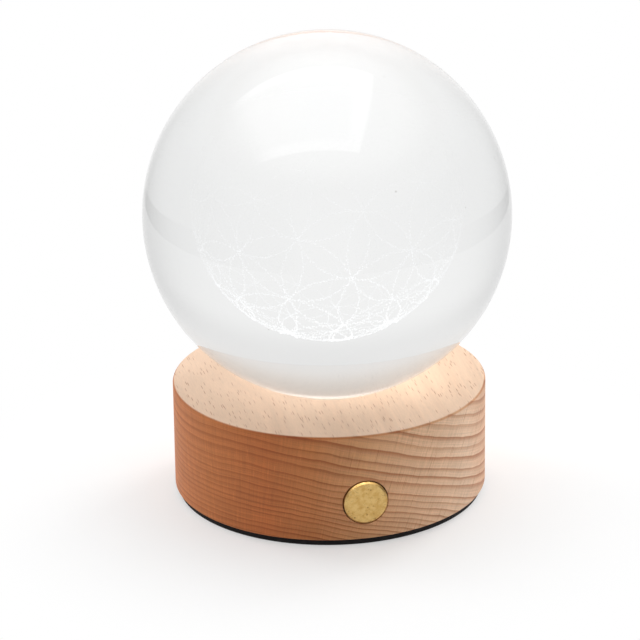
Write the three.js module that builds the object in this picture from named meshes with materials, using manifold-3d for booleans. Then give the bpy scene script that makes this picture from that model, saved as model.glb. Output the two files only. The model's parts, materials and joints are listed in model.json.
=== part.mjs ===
import * as THREE from 'three';
import { mergeVertices } from 'three/addons/utils/BufferGeometryUtils.js';
import Module from 'manifold-3d';

const wasm = await Module();
wasm.setup();

// Crystal ball lamp in millimetres, +Z up, button facing -Y.
// The origin is the centre of the underside.

// Driving dimensions
const ballDiameter = 100;
const ballSink = 2.8;
const baseDiameter = 86;
const baseHeight = 30;
const padThickness = 1.8;
const padInset = 1;
const buttonDiameter = 12;
const buttonDrop = 4.3;
const buttonTravel = 0.6;
const portHeight = 8.8;

// Clearances
const seatGap = 0.3;
const dropInGap = 0.3;
const glueGap = 0.1;
const runningGap = 0.1;
const restGap = 0.1;
const tipGap = 0.5;
const overrun = 1;

// Engraving inside the ball: overlapping circles on a smaller sphere, every arc a fine channel
const engravedDiameter = 48.9;
const engravedRise = 2;
const channelWidth = 0.5;
const channelDepth = 0.4;
const crossingReach = 1.1;
const petalShare = 0.15;
const ventDiameter = 0.6;
const engravedTiltDegrees = -4.6;
const engravedLeanDegrees = -25.8;
const engravedTurnDegrees = -14.1;

// Wood base
const topEdgeRadius = 0.6;
const bottomEdgeRadius = 0.5;
const woodWall = 9;
const plateLedge = 5;
const seatLand = 2;
const wellAir = 4.6;
const diffuserLedge = 2;

// Light
const diffuserThickness = 2;
const reflectorWall = 1.8;
const lampBoardThickness = 1.6;
const lampBoardRim = 5.2;
const lampCircleDiameter = 18;
const lampLength = 3.5;
const lampWidth = 2.8;
const lampHeight = 0.8;
const lampCount = 6;
const lampBoardScrewCount = 3;

// Screws that hold the boards
const screwDiameter = 2;
const screwHeadDiameter = 3.8;
const screwHeadHeight = 1.4;
const screwSlotWidth = 0.7;
const screwSlotDepth = 0.8;
const screwSlotShare = 0.6;
const lampBoardScrewLength = 6;

// Screws that hold the bottom plate
const plateScrewDiameter = 2.4;
const plateScrewHeadDiameter = 3.8;
const plateScrewHeadDepth = 1.2;
const plateScrewLength = 9;
const plateScrewCount = 4;

// Button
const capProud = 0.6;
const capGap = 0.3;
const capBevel = 0.5;
const capDepth = 4;
const capCrown = 1.5;
const skirtWall = 1;
const stemDiameter = 4;
const stemTip = 0.9;
const springRoom = 4.5;
const springDiameter = 7.2;
const springWire = 0.4;
const springTurns = 3.5;
const flangeThickness = 0.8;
const sleeveWall = 1;
const sleeveProud = 1;
const clipDiameter = 6.8;
const clipThickness = 0.6;
const clipMouth = 2.4;
const clipGrooveDepth = 0.5;

// Switch
const plungerDiameter = 3.4;
const plungerProud = 1.6;
const plungerTail = 1;
const switchSize = 6;
const switchDepth = 3.5;
const switchBoardWidth = 14;
const switchBoardThickness = 1.2;
const switchHeadroom = 0.2;
const slotPostWall = 1.4;
const slotPostHeight = 7;
const slotGrip = 1.5;

// Charging port
const recessWidth = 12.6;
const recessHeight = 7.6;
const recessCorner = 1.5;
const recessDepth = 5.2;
const recessShoulder = 1;
const bezelThickness = 1.2;
const shellWidth = 8.94;
const shellHeight = 3.26;
const shellLength = 7.4;
const shellWall = 0.3;
const shellCorner = 1.3;
const shellInset = 0.2;
const tongueWidth = 6.7;
const tongueThickness = 0.7;
const tongueInset = 1.4;
const tongueBlockLength = 1.6;

// Control board
const controlBoardWidth = 32;
const controlBoardDepth = 15;
const controlBoardThickness = 1.6;
const controlBoardSetback = 6;
const controlTongueGap = 0.5;
const controlScrewInset = 3;
const standoffDiameter = 4.8;
const componentGap = 0.8;
const frontRowInset = 4.5;
const rearRowInset = 4.5;
const chargerChip = { length: 5, width: 4, height: 1.5 };
const driverChip = { length: 4, width: 4, height: 1 };
const inductorCoil = { length: 5, width: 5, height: 2.8 };
const chipCapacitor = { length: 3.2, width: 1.6, height: 1.2 };

// Battery
const batteryLength = 40;
const batteryThickness = 6;
const batteryCorner = 2;
const batterySideGap = 5.75;
const tapeThickness = 0.8;
const tapeMargin = 4;
const cradleWall = 1.5;
const cradleHeight = 4;
const cradleLength = 24;
const socketLength = 5;
const socketWidth = 6;
const socketHeight = 3.4;
const socketInset = 0.3;
const plugLength = 4;
const plugWidth = 5;
const plugHeight = 2.8;

// Wires
const wireDiameter = 1;
const wirePitch = 2.4;
const batteryWireBulgeShare = 0.57;
const lampWireBend = 3;
const lampWireSetback = 2.5;
const switchWireRun = 12;
const switchWireDrop = 4;
const switchWireEdge = 3.5;

// Bottom plate
const plateThickness = 2;

// Smoothness of round pieces
const ballSegments = 36;
const ballRings = 26;
const netSplits = 2;
const bodySegments = 48;
const boreSegments = 24;
const screwSegments = 12;
const cornerSteps = 4;
const wireSides = 6;
const wireSteps = 10;
const springSides = 5;
const springStepsPerTurn = 8;

// Finishes
const clearGlass = { color: 0xf2f5f4, roughness: 0.02, metalness: 0, transparent: true, opacity: 0.35 };
const beechWood = { color: 0xd9a878, roughness: 0.6, metalness: 0 };
const polishedBrass = { color: 0xc49a63, roughness: 0.35, metalness: 1 };
const blackFoam = { color: 0x161616, roughness: 0.9, metalness: 0 };
const blackPlastic = { color: 0x1c1c1e, roughness: 0.55, metalness: 0 };
const blackNylon = { color: 0x242426, roughness: 0.5, metalness: 0 };
const opalPlastic = { color: 0xf6f1e6, roughness: 0.45, metalness: 0 };
const whitePlastic = { color: 0xededea, roughness: 0.5, metalness: 0 };
const whiteBoard = { color: 0xe8e8e2, roughness: 0.45, metalness: 0 };
const greenBoard = { color: 0x1f5a37, roughness: 0.4, metalness: 0 };
const warmLamp = { color: 0xf5d774, roughness: 0.4, metalness: 0 };
const brightSteel = { color: 0xb9bcc0, roughness: 0.3, metalness: 1 };
const springSteel = { color: 0x9da1a6, roughness: 0.35, metalness: 1 };
const chipEpoxy = { color: 0x202124, roughness: 0.6, metalness: 0 };
const ferrite = { color: 0x3a3b3e, roughness: 0.7, metalness: 0 };
const ceramicTan = { color: 0xb08a60, roughness: 0.5, metalness: 0 };
const batteryFoil = { color: 0xc3c6c8, roughness: 0.35, metalness: 0.6 };
const redInsulation = { color: 0xb3211c, roughness: 0.5, metalness: 0 };
const blackInsulation = { color: 0x191919, roughness: 0.5, metalness: 0 };

// Heights worked out from the bottom up
const ballRadius = ballDiameter / 2;
const baseRadius = baseDiameter / 2;
const woodBottom = padThickness;
const woodTop = woodBottom + baseHeight;
const plateTop = woodBottom + plateThickness;
const buttonCentre = woodBottom + baseHeight / 2 - buttonDrop;
const switchTop = buttonCentre + switchSize / 2;
const lampBoardBottom = switchTop + switchHeadroom;
const pocketRoof = lampBoardBottom + lampBoardThickness;
const ballBottom = woodTop - ballSink;
const ballCentre = ballBottom + ballRadius;
const diffuserTop = ballBottom - wellAir;
const diffuserBottom = diffuserTop - diffuserThickness;
const batteryBottom = plateTop + tapeThickness;
const batteryTop = batteryBottom + batteryThickness;
const portCentre = woodBottom + portHeight;
const controlBoardTop = portCentre - shellHeight / 2;
const controlBoardBottom = controlBoardTop - controlBoardThickness;

// Radii worked out from the ball and the base
const engravedRadius = engravedDiameter / 2;
const seatRadius = ballRadius + seatGap;
const seatMouthRadius = Math.sqrt(seatRadius ** 2 - (ballRadius - ballSink) ** 2);
const wellRadius = seatMouthRadius - seatLand;
const counterboreRadius = wellRadius + diffuserLedge;
const diffuserRadius = counterboreRadius - dropInGap;
const lampBoardRadius = counterboreRadius + lampBoardRim;
const lampScrewCircleRadius = counterboreRadius + lampBoardRim / 2;
const pocketRadius = baseRadius - woodWall;
const rebateRadius = pocketRadius + plateLedge;
const plateScrewCircleRadius = pocketRadius + plateLedge / 2;

// Depths along the button's axis, from the wood's surface inwards
const buttonRadius = buttonDiameter / 2;
const buttonBoreRadius = buttonRadius + capGap;
const capSkirtEnd = capDepth - capProud;
const capCeiling = capCrown - capProud;
const flangeFront = capCeiling + springRoom;
const boreShoulder = flangeFront + flangeThickness;
const stemRadius = stemDiameter / 2;
const sleeveBoreRadius = stemRadius + runningGap;
const sleeveRadius = sleeveBoreRadius + sleeveWall;
const sleeveEnd = woodWall + sleeveProud;
const clipFront = sleeveEnd + restGap;
const clipBack = clipFront + clipThickness;
const stemGrooveRadius = stemRadius - clipGrooveDepth;
const stemEnd = clipBack + stemTip;
const plungerFront = stemEnd + restGap;
const switchFront = plungerFront + plungerProud;
const switchBack = switchFront + switchDepth;
const switchBoardBack = switchBack + switchBoardThickness;

// Places across the pocket
const switchBoardRear = switchBoardBack - baseRadius;
const slotPostRear = switchBoardRear + restGap + slotPostWall;
const controlBoardRear = pocketRadius - controlBoardSetback;
const controlBoardFront = controlBoardRear - controlBoardDepth;
const frontRow = controlBoardFront + frontRowInset;
const rearRow = controlBoardRear - rearRowInset;
const batteryMiddle = (slotPostRear + controlBoardFront) / 2;
const batteryWidth = controlBoardFront - slotPostRear - 2 * batterySideGap;

// Depths along the port's axis, from the wood's surface inwards
const bezelBack = recessDepth + bezelThickness;
const portShoulder = baseRadius - bezelBack;
const shellMouth = recessDepth + shellInset;
const notchWidth = recessWidth - 2 * recessShoulder;
const notchTop = portCentre + recessHeight / 2 - recessShoulder;

// A named mesh with a finish of its own
function piece(name, geometry, finish) {
  const mesh = new THREE.Mesh(geometry, new THREE.MeshStandardMaterial(finish));
  mesh.name = name;
  return mesh;
}

// A closed body of revolution about Z; the profile runs anticlockwise in (radius, height)
function turned(profile, segments) {
  const points = profile.map(([radius, height]) => new THREE.Vector2(radius, height));
  if (points[0].x > 0) {
    points.push(points[0].clone());
  }
  return new THREE.LatheGeometry(points, segments).rotateX(Math.PI / 2);
}

// A round bar or washer along Z
function bar(radius, bottom, top, segments) {
  return turned([[0, bottom], [radius, bottom], [radius, top], [0, top]], segments);
}

function washer(innerRadius, outerRadius, bottom, top, segments) {
  const profile = [[innerRadius, bottom], [outerRadius, bottom], [outerRadius, top], [innerRadius, top]];
  return turned(profile, segments);
}

// A box between two corners
function block(low, high) {
  const size = high.map((value, axis) => value - low[axis]);
  const middle = high.map((value, axis) => (value + low[axis]) / 2);
  return new THREE.BoxGeometry(...size).translate(...middle);
}

// Points of an arc in (radius, height), from one angle to another
function arc(centre, radius, from, to) {
  return Array.from({ length: cornerSteps + 1 }, (_, step) => {
    const angle = from + ((to - from) * step) / cornerSteps;
    return [centre[0] + radius * Math.cos(angle), centre[1] + radius * Math.sin(angle)];
  });
}

// The outline of a rectangle with round corners, centred on the origin
function roundedOutline(width, height, corner, Kind = THREE.Shape) {
  const outline = new Kind();
  const right = width / 2 - corner;
  const top = height / 2 - corner;
  outline.moveTo(-right, -height / 2);
  outline.lineTo(right, -height / 2);
  outline.absarc(right, -top, corner, -Math.PI / 2, 0);
  outline.absarc(right, top, corner, 0, Math.PI / 2);
  outline.absarc(-right, top, corner, Math.PI / 2, Math.PI);
  outline.absarc(-right, -top, corner, Math.PI, 1.5 * Math.PI);
  return outline;
}

function circleOutline(x, y, radius, Kind = THREE.Path) {
  const outline = new Kind();
  outline.absarc(x, y, radius, 0, 2 * Math.PI);
  return outline;
}

// A flat sheet: an outline given a thickness along Z
function sheet(outline, bottom, top, curveSegments) {
  const options = { depth: top - bottom, bevelEnabled: false, curveSegments };
  return new THREE.ExtrudeGeometry(outline, options).translate(0, 0, bottom);
}

// A round tube along a curve
function tubeAlong(path, radius, steps, sides) {
  const corners = Array.from({ length: sides }, (_, side) => {
    const angle = (2 * Math.PI * side) / sides;
    return new THREE.Vector2(radius * Math.cos(angle), radius * Math.sin(angle));
  });
  return new THREE.ExtrudeGeometry(new THREE.Shape(corners), { steps, extrudePath: path });
}

// A closed geometry as a solid for joining and cutting
function solid(geometry) {
  geometry.deleteAttribute('normal');
  geometry.deleteAttribute('uv');
  const merged = mergeVertices(geometry);
  const corners = [];
  for (let start = 0; start < merged.index.count; start += 3) {
    const [a, b, c] = merged.index.array.slice(start, start + 3);
    if (a !== b && b !== c && c !== a) {
      corners.push(a, b, c);
    }
  }
  const vertProperties = new Float32Array(merged.attributes.position.array);
  const triVerts = new Uint32Array(corners);
  return new wasm.Manifold(new wasm.Mesh({ numProp: 3, vertProperties, triVerts }));
}

// A solid as a geometry again
function surface(body) {
  const mesh = body.getMesh();
  const geometry = new THREE.BufferGeometry();
  geometry.setAttribute('position', new THREE.BufferAttribute(mesh.vertProperties, 3));
  geometry.setIndex(new THREE.BufferAttribute(mesh.triVerts, 1));
  geometry.computeVertexNormals();
  return geometry;
}

// One geometry joined with some and cut by others
function carved(geometry, cutters, additions = []) {
  const joined = additions.reduce((body, addition) => body.add(solid(addition)), solid(geometry));
  return surface(cutters.reduce((body, cutter) => body.subtract(solid(cutter)), joined));
}

// Evenly spaced places on a circle, the first at the given angle
function placesOnCircle(count, radius, firstAngle) {
  return Array.from({ length: count }, (_, index) => {
    const angle = firstAngle + (2 * Math.PI * index) / count;
    return { x: radius * Math.cos(angle), y: radius * Math.sin(angle), angle };
  });
}

const lampScrewPlaces = placesOnCircle(lampBoardScrewCount, lampScrewCircleRadius, Math.PI / 2);
const plateScrewPlaces = placesOnCircle(plateScrewCount, plateScrewCircleRadius, Math.PI / 4);
const controlScrewPlaces = [-1, 1].map((side) => ({
  x: side * (controlBoardWidth / 2 - controlScrewInset),
  y: controlBoardRear - controlScrewInset,
}));
const pilotRadius = screwDiameter / 2 + glueGap;
const platePilotRadius = plateScrewDiameter / 2 + glueGap;

// A group whose local +Z runs into the wood from the front, at the button
function buttonFrame() {
  const frame = new THREE.Group();
  frame.position.set(0, -baseRadius, buttonCentre);
  frame.rotation.x = -Math.PI / 2;
  return frame;
}

// A group whose local +Z runs into the wood from the back, at the port
function portFrame() {
  const frame = new THREE.Group();
  frame.position.set(0, baseRadius, portCentre);
  frame.rotation.x = Math.PI / 2;
  return frame;
}

// The same geometry placed where a frame puts it
function placedBy(frame, geometry) {
  frame.updateMatrix();
  return geometry.applyMatrix4(frame.matrix);
}

// The centres of the engraved circles, as a net over the engraved sphere, and the net's faces
function circleNet() {
  const sphere = new THREE.IcosahedronGeometry(1, netSplits);
  sphere.deleteAttribute('normal');
  sphere.deleteAttribute('uv');
  const net = mergeVertices(sphere);
  const angles = [engravedTiltDegrees, engravedLeanDegrees, engravedTurnDegrees];
  const turn = new THREE.Euler(...angles.map((angle) => THREE.MathUtils.degToRad(angle)), 'ZYX');
  const centres = Array.from({ length: net.attributes.position.count }, (_, index) => {
    const centre = new THREE.Vector3().fromBufferAttribute(net.attributes.position, index);
    return centre.applyEuler(turn).multiplyScalar(engravedRadius);
  });
  const faces = Array.from({ length: net.index.count / 3 }, (_, face) => (
    [0, 1, 2].map((corner) => centres[net.index.getX(3 * face + corner)])
  ));
  return { centres, faces };
}

// The point at a distance from one place towards another
function towards(from, to, distance) {
  return to.clone().sub(from).setLength(distance).add(from);
}

// The channels in one face of the net, as patches of four points and the sides that stay open.
// Along each edge runs one arc of a petal; the petal's tips stop short of the crossings.
function channelPatches(corners) {
  const middle = corners.reduce((sum, corner) => sum.add(corner), new THREE.Vector3()).divideScalar(3);
  return corners.flatMap((start, index) => {
    const end = corners[(index + 1) % 3];
    const last = corners[(index + 2) % 3];
    const halfway = start.clone().add(end).divideScalar(2);
    const swell = petalShare * start.distanceTo(end);
    const petalSide = towards(halfway, middle, swell - channelWidth / 2);
    const faceSide = towards(halfway, middle, swell + channelWidth / 2);
    const [startTip, endTip] = [towards(start, end, crossingReach), towards(end, start, crossingReach)];
    const [startInner, endInner] = [start, end].map((place) => towards(place, middle, crossingReach));
    const lastTip = towards(start, last, crossingReach);
    return [
      { points: [startTip, petalSide, faceSide, startInner], openSides: [0, 2] },
      { points: [petalSide, endTip, endInner, faceSide], openSides: [0, 2] },
      { points: [start, startTip, startInner, lastTip], openSides: [] },
    ];
  });
}

// All the channels as one closed body round the engraved sphere's centre
function engravedChannels() {
  const corners = [];
  const patch = (a, b, c, d) => corners.push(a, b, c, a, c, d);
  circleNet().faces.flatMap(channelPatches).forEach(({ points, openSides }) => {
    const [outer, inner] = [1, -1].map((side) => (
      points.map((point) => point.clone().setLength(engravedRadius + (side * channelDepth) / 2))
    ));
    patch(...outer);
    patch(...inner.toReversed());
    openSides.forEach((side) => patch(outer[side + 1], outer[side], inner[side], inner[side + 1]));
  });
  return new THREE.BufferGeometry().setFromPoints(corners).translate(0, 0, engravedRise);
}

// A fine straight hole from the lowest crossing down through the glass, out over the light well
function engravingVent() {
  const foot = circleNet().centres.reduce((lowest, centre) => (centre.z < lowest.z ? centre : lowest));
  const vent = bar(ventDiameter / 2, -ballRadius - overrun, engravedRise + foot.z, screwSegments);
  return vent.translate(foot.x, foot.y, 0);
}

// Solid glass ball with the engraving in it
function crystalBall() {
  const sphere = new THREE.SphereGeometry(ballRadius, ballSegments, ballRings).rotateX(Math.PI / 2);
  const engraved = carved(sphere, [engravedChannels(), engravingVent()]);
  const ball = piece('crystal_ball', engraved, clearGlass);
  ball.position.z = ballCentre;
  return ball;
}

// The seat's arc from its mouth down to the well, a constant gap below the ball
function seatArc() {
  const mouthAngle = -Math.acos(seatMouthRadius / seatRadius);
  const wellAngle = -Math.acos(wellRadius / seatRadius);
  return arc([0, ballCentre], seatRadius, mouthAngle, wellAngle);
}

// Turned beech base with seat, light well, pocket and rebate
function woodBase() {
  const bottomEdgeCentre = [baseRadius - bottomEdgeRadius, woodBottom + bottomEdgeRadius];
  const topEdgeCentre = [baseRadius - topEdgeRadius, woodTop - topEdgeRadius];
  const profile = [
    [rebateRadius, woodBottom],
    ...arc(bottomEdgeCentre, bottomEdgeRadius, -Math.PI / 2, 0),
    ...arc(topEdgeCentre, topEdgeRadius, 0, Math.PI / 2),
    ...seatArc(),
    [wellRadius, diffuserTop],
    [counterboreRadius, diffuserTop],
    [counterboreRadius, pocketRoof],
    [pocketRadius, pocketRoof],
    [pocketRadius, plateTop],
    [rebateRadius, plateTop],
  ];
  const cutters = [...buttonCuts(), ...portCuts(), ...lampPilots(), ...platePilots()];
  return piece('wood_base', carved(turned(profile, bodySegments), cutters), beechWood);
}

function buttonCuts() {
  const bore = bar(buttonBoreRadius, -overrun, boreShoulder, boreSegments);
  const throat = bar(sleeveRadius + glueGap, boreShoulder - overrun, woodWall + overrun, boreSegments);
  return [bore, throat].map((cutter) => placedBy(buttonFrame(), cutter));
}

function portCuts() {
  const outline = roundedOutline(recessWidth, recessHeight, recessCorner);
  const recess = placedBy(portFrame(), sheet(outline, -overrun, bezelBack, cornerSteps));
  const notch = block(
    [-notchWidth / 2, pocketRadius - overrun, woodBottom - overrun],
    [notchWidth / 2, portShoulder, notchTop],
  );
  return [recess, notch];
}

function lampPilots() {
  const top = lampBoardBottom + lampBoardScrewLength + tipGap;
  return lampScrewPlaces.map(({ x, y }) => (
    bar(pilotRadius, pocketRoof - overrun, top, screwSegments).translate(x, y, 0)
  ));
}

function platePilots() {
  const top = woodBottom + plateScrewLength + tipGap;
  return plateScrewPlaces.map(({ x, y }) => (
    bar(platePilotRadius, plateTop - overrun, top, screwSegments).translate(x, y, 0)
  ));
}

// Soft pad that the lamp stands on
function footPad() {
  return piece('foot_pad', bar(baseRadius - padInset, 0, padThickness, bodySegments), blackFoam);
}

// Cross slot in a screw's head, opening at the given height
function crossSlot(headDiameter, top) {
  const reach = (headDiameter * screwSlotShare) / 2;
  const half = screwSlotWidth / 2;
  const low = top - screwSlotDepth;
  const high = top + overrun;
  return [
    block([-reach, -half, low], [reach, half, high]),
    block([-half, -reach, low], [half, reach, high]),
  ];
}

// Pan-head screw pointing down, its head's underside at height 0
function panScrew(length) {
  const headRadius = screwHeadDiameter / 2;
  const shankRadius = screwDiameter / 2;
  const profile = [
    [0, -length],
    [shankRadius, -length],
    [shankRadius, 0],
    [headRadius, 0],
    [headRadius, screwHeadHeight / 2],
    [shankRadius, screwHeadHeight],
    [0, screwHeadHeight],
  ];
  return carved(turned(profile, screwSegments), crossSlot(screwHeadDiameter, screwHeadHeight));
}

// Countersunk screw pointing down, its head's top at height 0
function countersunkScrew() {
  const profile = [
    [0, -plateScrewLength],
    [plateScrewDiameter / 2, -plateScrewLength],
    [plateScrewDiameter / 2, -plateScrewHeadDepth],
    [plateScrewHeadDiameter / 2, 0],
    [0, 0],
  ];
  return carved(turned(profile, screwSegments), crossSlot(plateScrewHeadDiameter, 0));
}

// The countersink that the head sits in, in the same frame as the screw
function countersink() {
  const profile = [
    [0, -plateThickness - overrun],
    [platePilotRadius, -plateThickness - overrun],
    [platePilotRadius, -plateScrewHeadDepth],
    [plateScrewHeadDiameter / 2 + glueGap, 0],
    [plateScrewHeadDiameter / 2 + glueGap, overrun],
    [0, overrun],
  ];
  return turned(profile, screwSegments);
}

// Light stack under the ball: diffuser, reflector ring, board and lamps
function lightStack() {
  const pieces = [
    piece('light_diffuser', bar(diffuserRadius, diffuserBottom, diffuserTop, bodySegments), opalPlastic),
    piece('reflector_ring', washer(
      diffuserRadius - reflectorWall,
      diffuserRadius,
      pocketRoof,
      diffuserBottom,
      bodySegments,
    ), whitePlastic),
    piece('led_board', lampBoard(), whiteBoard),
  ];
  placesOnCircle(lampCount, lampCircleDiameter / 2, 0).forEach(({ x, y, angle }, index) => {
    const body = new THREE.BoxGeometry(lampWidth, lampLength, lampHeight);
    const lamp = piece(`led_${index + 1}`, body, warmLamp);
    lamp.position.set(x, y, pocketRoof + lampHeight / 2);
    lamp.rotation.z = angle;
    pieces.push(lamp);
  });
  lampScrewPlaces.forEach(({ x, y }, index) => {
    const screw = piece(`led_board_screw_${index + 1}`, panScrew(lampBoardScrewLength), brightSteel);
    screw.position.set(x, y, lampBoardBottom);
    screw.rotation.x = Math.PI;
    pieces.push(screw);
  });
  return pieces;
}

function lampBoard() {
  const outline = circleOutline(0, 0, lampBoardRadius, THREE.Shape);
  outline.holes = lampScrewPlaces.map(({ x, y }) => circleOutline(x, y, pilotRadius));
  return sheet(outline, lampBoardBottom, pocketRoof, screwSegments);
}

// Brass cap with its skirt and stem
function buttonCap() {
  const skirtRadius = buttonRadius - skirtWall;
  const profile = [
    [0, -capProud],
    [buttonRadius - capBevel, -capProud],
    [buttonRadius, capBevel - capProud],
    [buttonRadius, capSkirtEnd],
    [skirtRadius, capSkirtEnd],
    [skirtRadius, capCeiling],
    [stemRadius, capCeiling],
    [stemRadius, sleeveEnd],
    [stemGrooveRadius, sleeveEnd],
    [stemGrooveRadius, clipBack + restGap],
    [stemRadius, clipBack + restGap],
    [stemRadius, stemEnd],
    [0, stemEnd],
  ];
  return piece('button_cap', turned(profile, boreSegments), polishedBrass);
}

// Flanged bush that guides the stem
function buttonBush() {
  const flangeRadius = buttonBoreRadius - glueGap;
  const profile = [
    [sleeveBoreRadius, flangeFront],
    [flangeRadius, flangeFront],
    [flangeRadius, boreShoulder],
    [sleeveRadius, boreShoulder],
    [sleeveRadius, sleeveEnd],
    [sleeveBoreRadius, sleeveEnd],
  ];
  return piece('button_bush', turned(profile, boreSegments), blackNylon);
}

// Centre line of the return spring, from the cap's ceiling to the flange
class SpringLine extends THREE.Curve {
  getPoint(share, target = new THREE.Vector3()) {
    const angle = 2 * Math.PI * springTurns * share;
    const inset = dropInGap + springWire / 2;
    const height = capCeiling + inset + (springRoom - 2 * inset) * share;
    const radius = springDiameter / 2;
    return target.set(radius * Math.cos(angle), radius * Math.sin(angle), height);
  }
}

function returnSpring() {
  const steps = Math.round(springTurns * springStepsPerTurn);
  const coil = tubeAlong(new SpringLine(), springWire / 2, steps, springSides);
  return piece('return_spring', coil, springSteel);
}

// Open clip in the stem's groove
function retainingClip() {
  const innerRadius = stemGrooveRadius + restGap;
  const outerRadius = clipDiameter / 2;
  const innerAngle = Math.asin(clipMouth / 2 / innerRadius);
  const outerAngle = Math.asin(clipMouth / 2 / outerRadius);
  const outline = new THREE.Shape();
  outline.absarc(0, 0, outerRadius, outerAngle, 2 * Math.PI - outerAngle);
  outline.absarc(0, 0, innerRadius, 2 * Math.PI - innerAngle, innerAngle, true);
  return piece('retaining_clip', sheet(outline, clipFront, clipBack, screwSegments), springSteel);
}

function switchPlunger() {
  const plunger = bar(plungerDiameter / 2, plungerFront, switchFront + plungerTail, boreSegments);
  return piece('switch_plunger', plunger, whitePlastic);
}

function switchBody() {
  const half = switchSize / 2;
  const holeEnd = switchFront + plungerTail + buttonTravel + dropInGap;
  const hole = bar(plungerDiameter / 2 + runningGap, switchFront - overrun, holeEnd, boreSegments);
  const housing = block([-half, -half, switchFront], [half, half, switchBack]);
  return piece('switch_body', carved(housing, [hole]), chipEpoxy);
}

function buttonPieces() {
  const frame = buttonFrame();
  frame.add(buttonCap(), buttonBush(), returnSpring(), retainingClip(), switchPlunger(), switchBody());
  return frame;
}

// Upright board behind the switch, standing in the plate's slot posts
function switchBoard() {
  const board = block(
    [-switchBoardWidth / 2, switchBoardRear - switchBoardThickness, plateTop],
    [switchBoardWidth / 2, switchBoardRear, switchTop],
  );
  return piece('switch_board', board, greenBoard);
}

// Bezel that closes the bottom of the port's recess
function portBezel() {
  const fit = 2 * glueGap;
  const outline = roundedOutline(recessWidth - fit, recessHeight - fit, recessCorner - glueGap);
  const slotWidth = shellWidth + 2 * dropInGap;
  const slotHeight = shellHeight + 2 * dropInGap;
  outline.holes = [roundedOutline(slotWidth, slotHeight, shellCorner + dropInGap, THREE.Path)];
  return piece('port_bezel', sheet(outline, recessDepth, bezelBack, cornerSteps), blackPlastic);
}

function usbShell() {
  const outline = roundedOutline(shellWidth, shellHeight, shellCorner);
  const inner = [shellWidth - 2 * shellWall, shellHeight - 2 * shellWall, shellCorner - shellWall];
  outline.holes = [roundedOutline(...inner, THREE.Path)];
  return piece('usb_shell', sheet(outline, shellMouth, shellMouth + shellLength, cornerSteps), brightSteel);
}

// Contact tongue on the block that fills the shell's rear
function usbTongue() {
  const rear = shellMouth + shellLength;
  const rim = 2 * (shellWall + glueGap);
  const outline = roundedOutline(shellWidth - rim, shellHeight - rim, shellCorner - rim / 2);
  const rearBlock = sheet(outline, rear - tongueBlockLength, rear, cornerSteps);
  const tongue = block(
    [-tongueWidth / 2, -tongueThickness / 2, shellMouth + tongueInset],
    [tongueWidth / 2, tongueThickness / 2, rear - tongueBlockLength / 2],
  );
  return piece('usb_tongue', carved(rearBlock, [], [tongue]), blackPlastic);
}

function portPieces() {
  const frame = portFrame();
  frame.add(portBezel(), usbShell(), usbTongue());
  return frame;
}

// Control board: a rectangle with a tongue that reaches under the port
function controlBoard() {
  const right = controlBoardWidth / 2;
  const tongueRight = notchWidth / 2 - controlTongueGap;
  const tongueEnd = portShoulder - controlTongueGap;
  const outline = new THREE.Shape([
    [-right, controlBoardFront],
    [right, controlBoardFront],
    [right, controlBoardRear],
    [tongueRight, controlBoardRear],
    [tongueRight, tongueEnd],
    [-tongueRight, tongueEnd],
    [-tongueRight, controlBoardRear],
    [-right, controlBoardRear],
  ].map(([x, y]) => new THREE.Vector2(x, y)));
  outline.holes = controlScrewPlaces.map(({ x, y }) => circleOutline(x, y, pilotRadius));
  const board = sheet(outline, controlBoardBottom, controlBoardTop, screwSegments / 2);
  return piece('control_board', board, greenBoard);
}

function boardComponent(name, size, x, y, finish) {
  const component = piece(name, new THREE.BoxGeometry(size.length, size.width, size.height), finish);
  component.position.set(x, y, controlBoardTop + size.height / 2);
  return component;
}

// Rear row of the board, side by side between the screws
function rearRowComponents() {
  const row = [
    ['charger_chip', chargerChip, chipEpoxy],
    ['driver_chip', driverChip, chipEpoxy],
    ['inductor', inductorCoil, ferrite],
  ];
  const rowLength = row.reduce((sum, [, size]) => sum + size.length, (row.length - 1) * componentGap);
  let left = -rowLength / 2;
  return row.map(([name, size, finish]) => {
    const component = boardComponent(name, size, left + size.length / 2, rearRow, finish);
    left += size.length + componentGap;
    return component;
  });
}

// Front row of the board: a capacitor on each side of the lamp wires
function frontRowComponents() {
  const x = (wirePitch + wireDiameter + chipCapacitor.length) / 2 + componentGap;
  return [-1, 1].map((side, index) => (
    boardComponent(`capacitor_${index + 1}`, chipCapacitor, side * x, frontRow, ceramicTan)
  ));
}

function controlBoardScrews() {
  const length = controlBoardTop - plateTop - tipGap;
  return controlScrewPlaces.map(({ x, y }, index) => {
    const screw = piece(`control_board_screw_${index + 1}`, panScrew(length), brightSteel);
    screw.position.set(x, y, controlBoardTop);
    return screw;
  });
}

function controlPieces() {
  return [
    controlBoard(),
    ...rearRowComponents(),
    ...frontRowComponents(),
    ...controlBoardScrews(),
  ];
}

// Battery with its tape, and its socket and plug on the control board's left edge
const socketLeft = socketInset - controlBoardWidth / 2;
const socketMiddle = controlBoardFront + socketInset + socketWidth / 2;
const plugRight = -controlBoardWidth / 2;
const plugLeft = plugRight - plugLength;
const plugCentre = controlBoardTop + socketHeight / 2;

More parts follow.
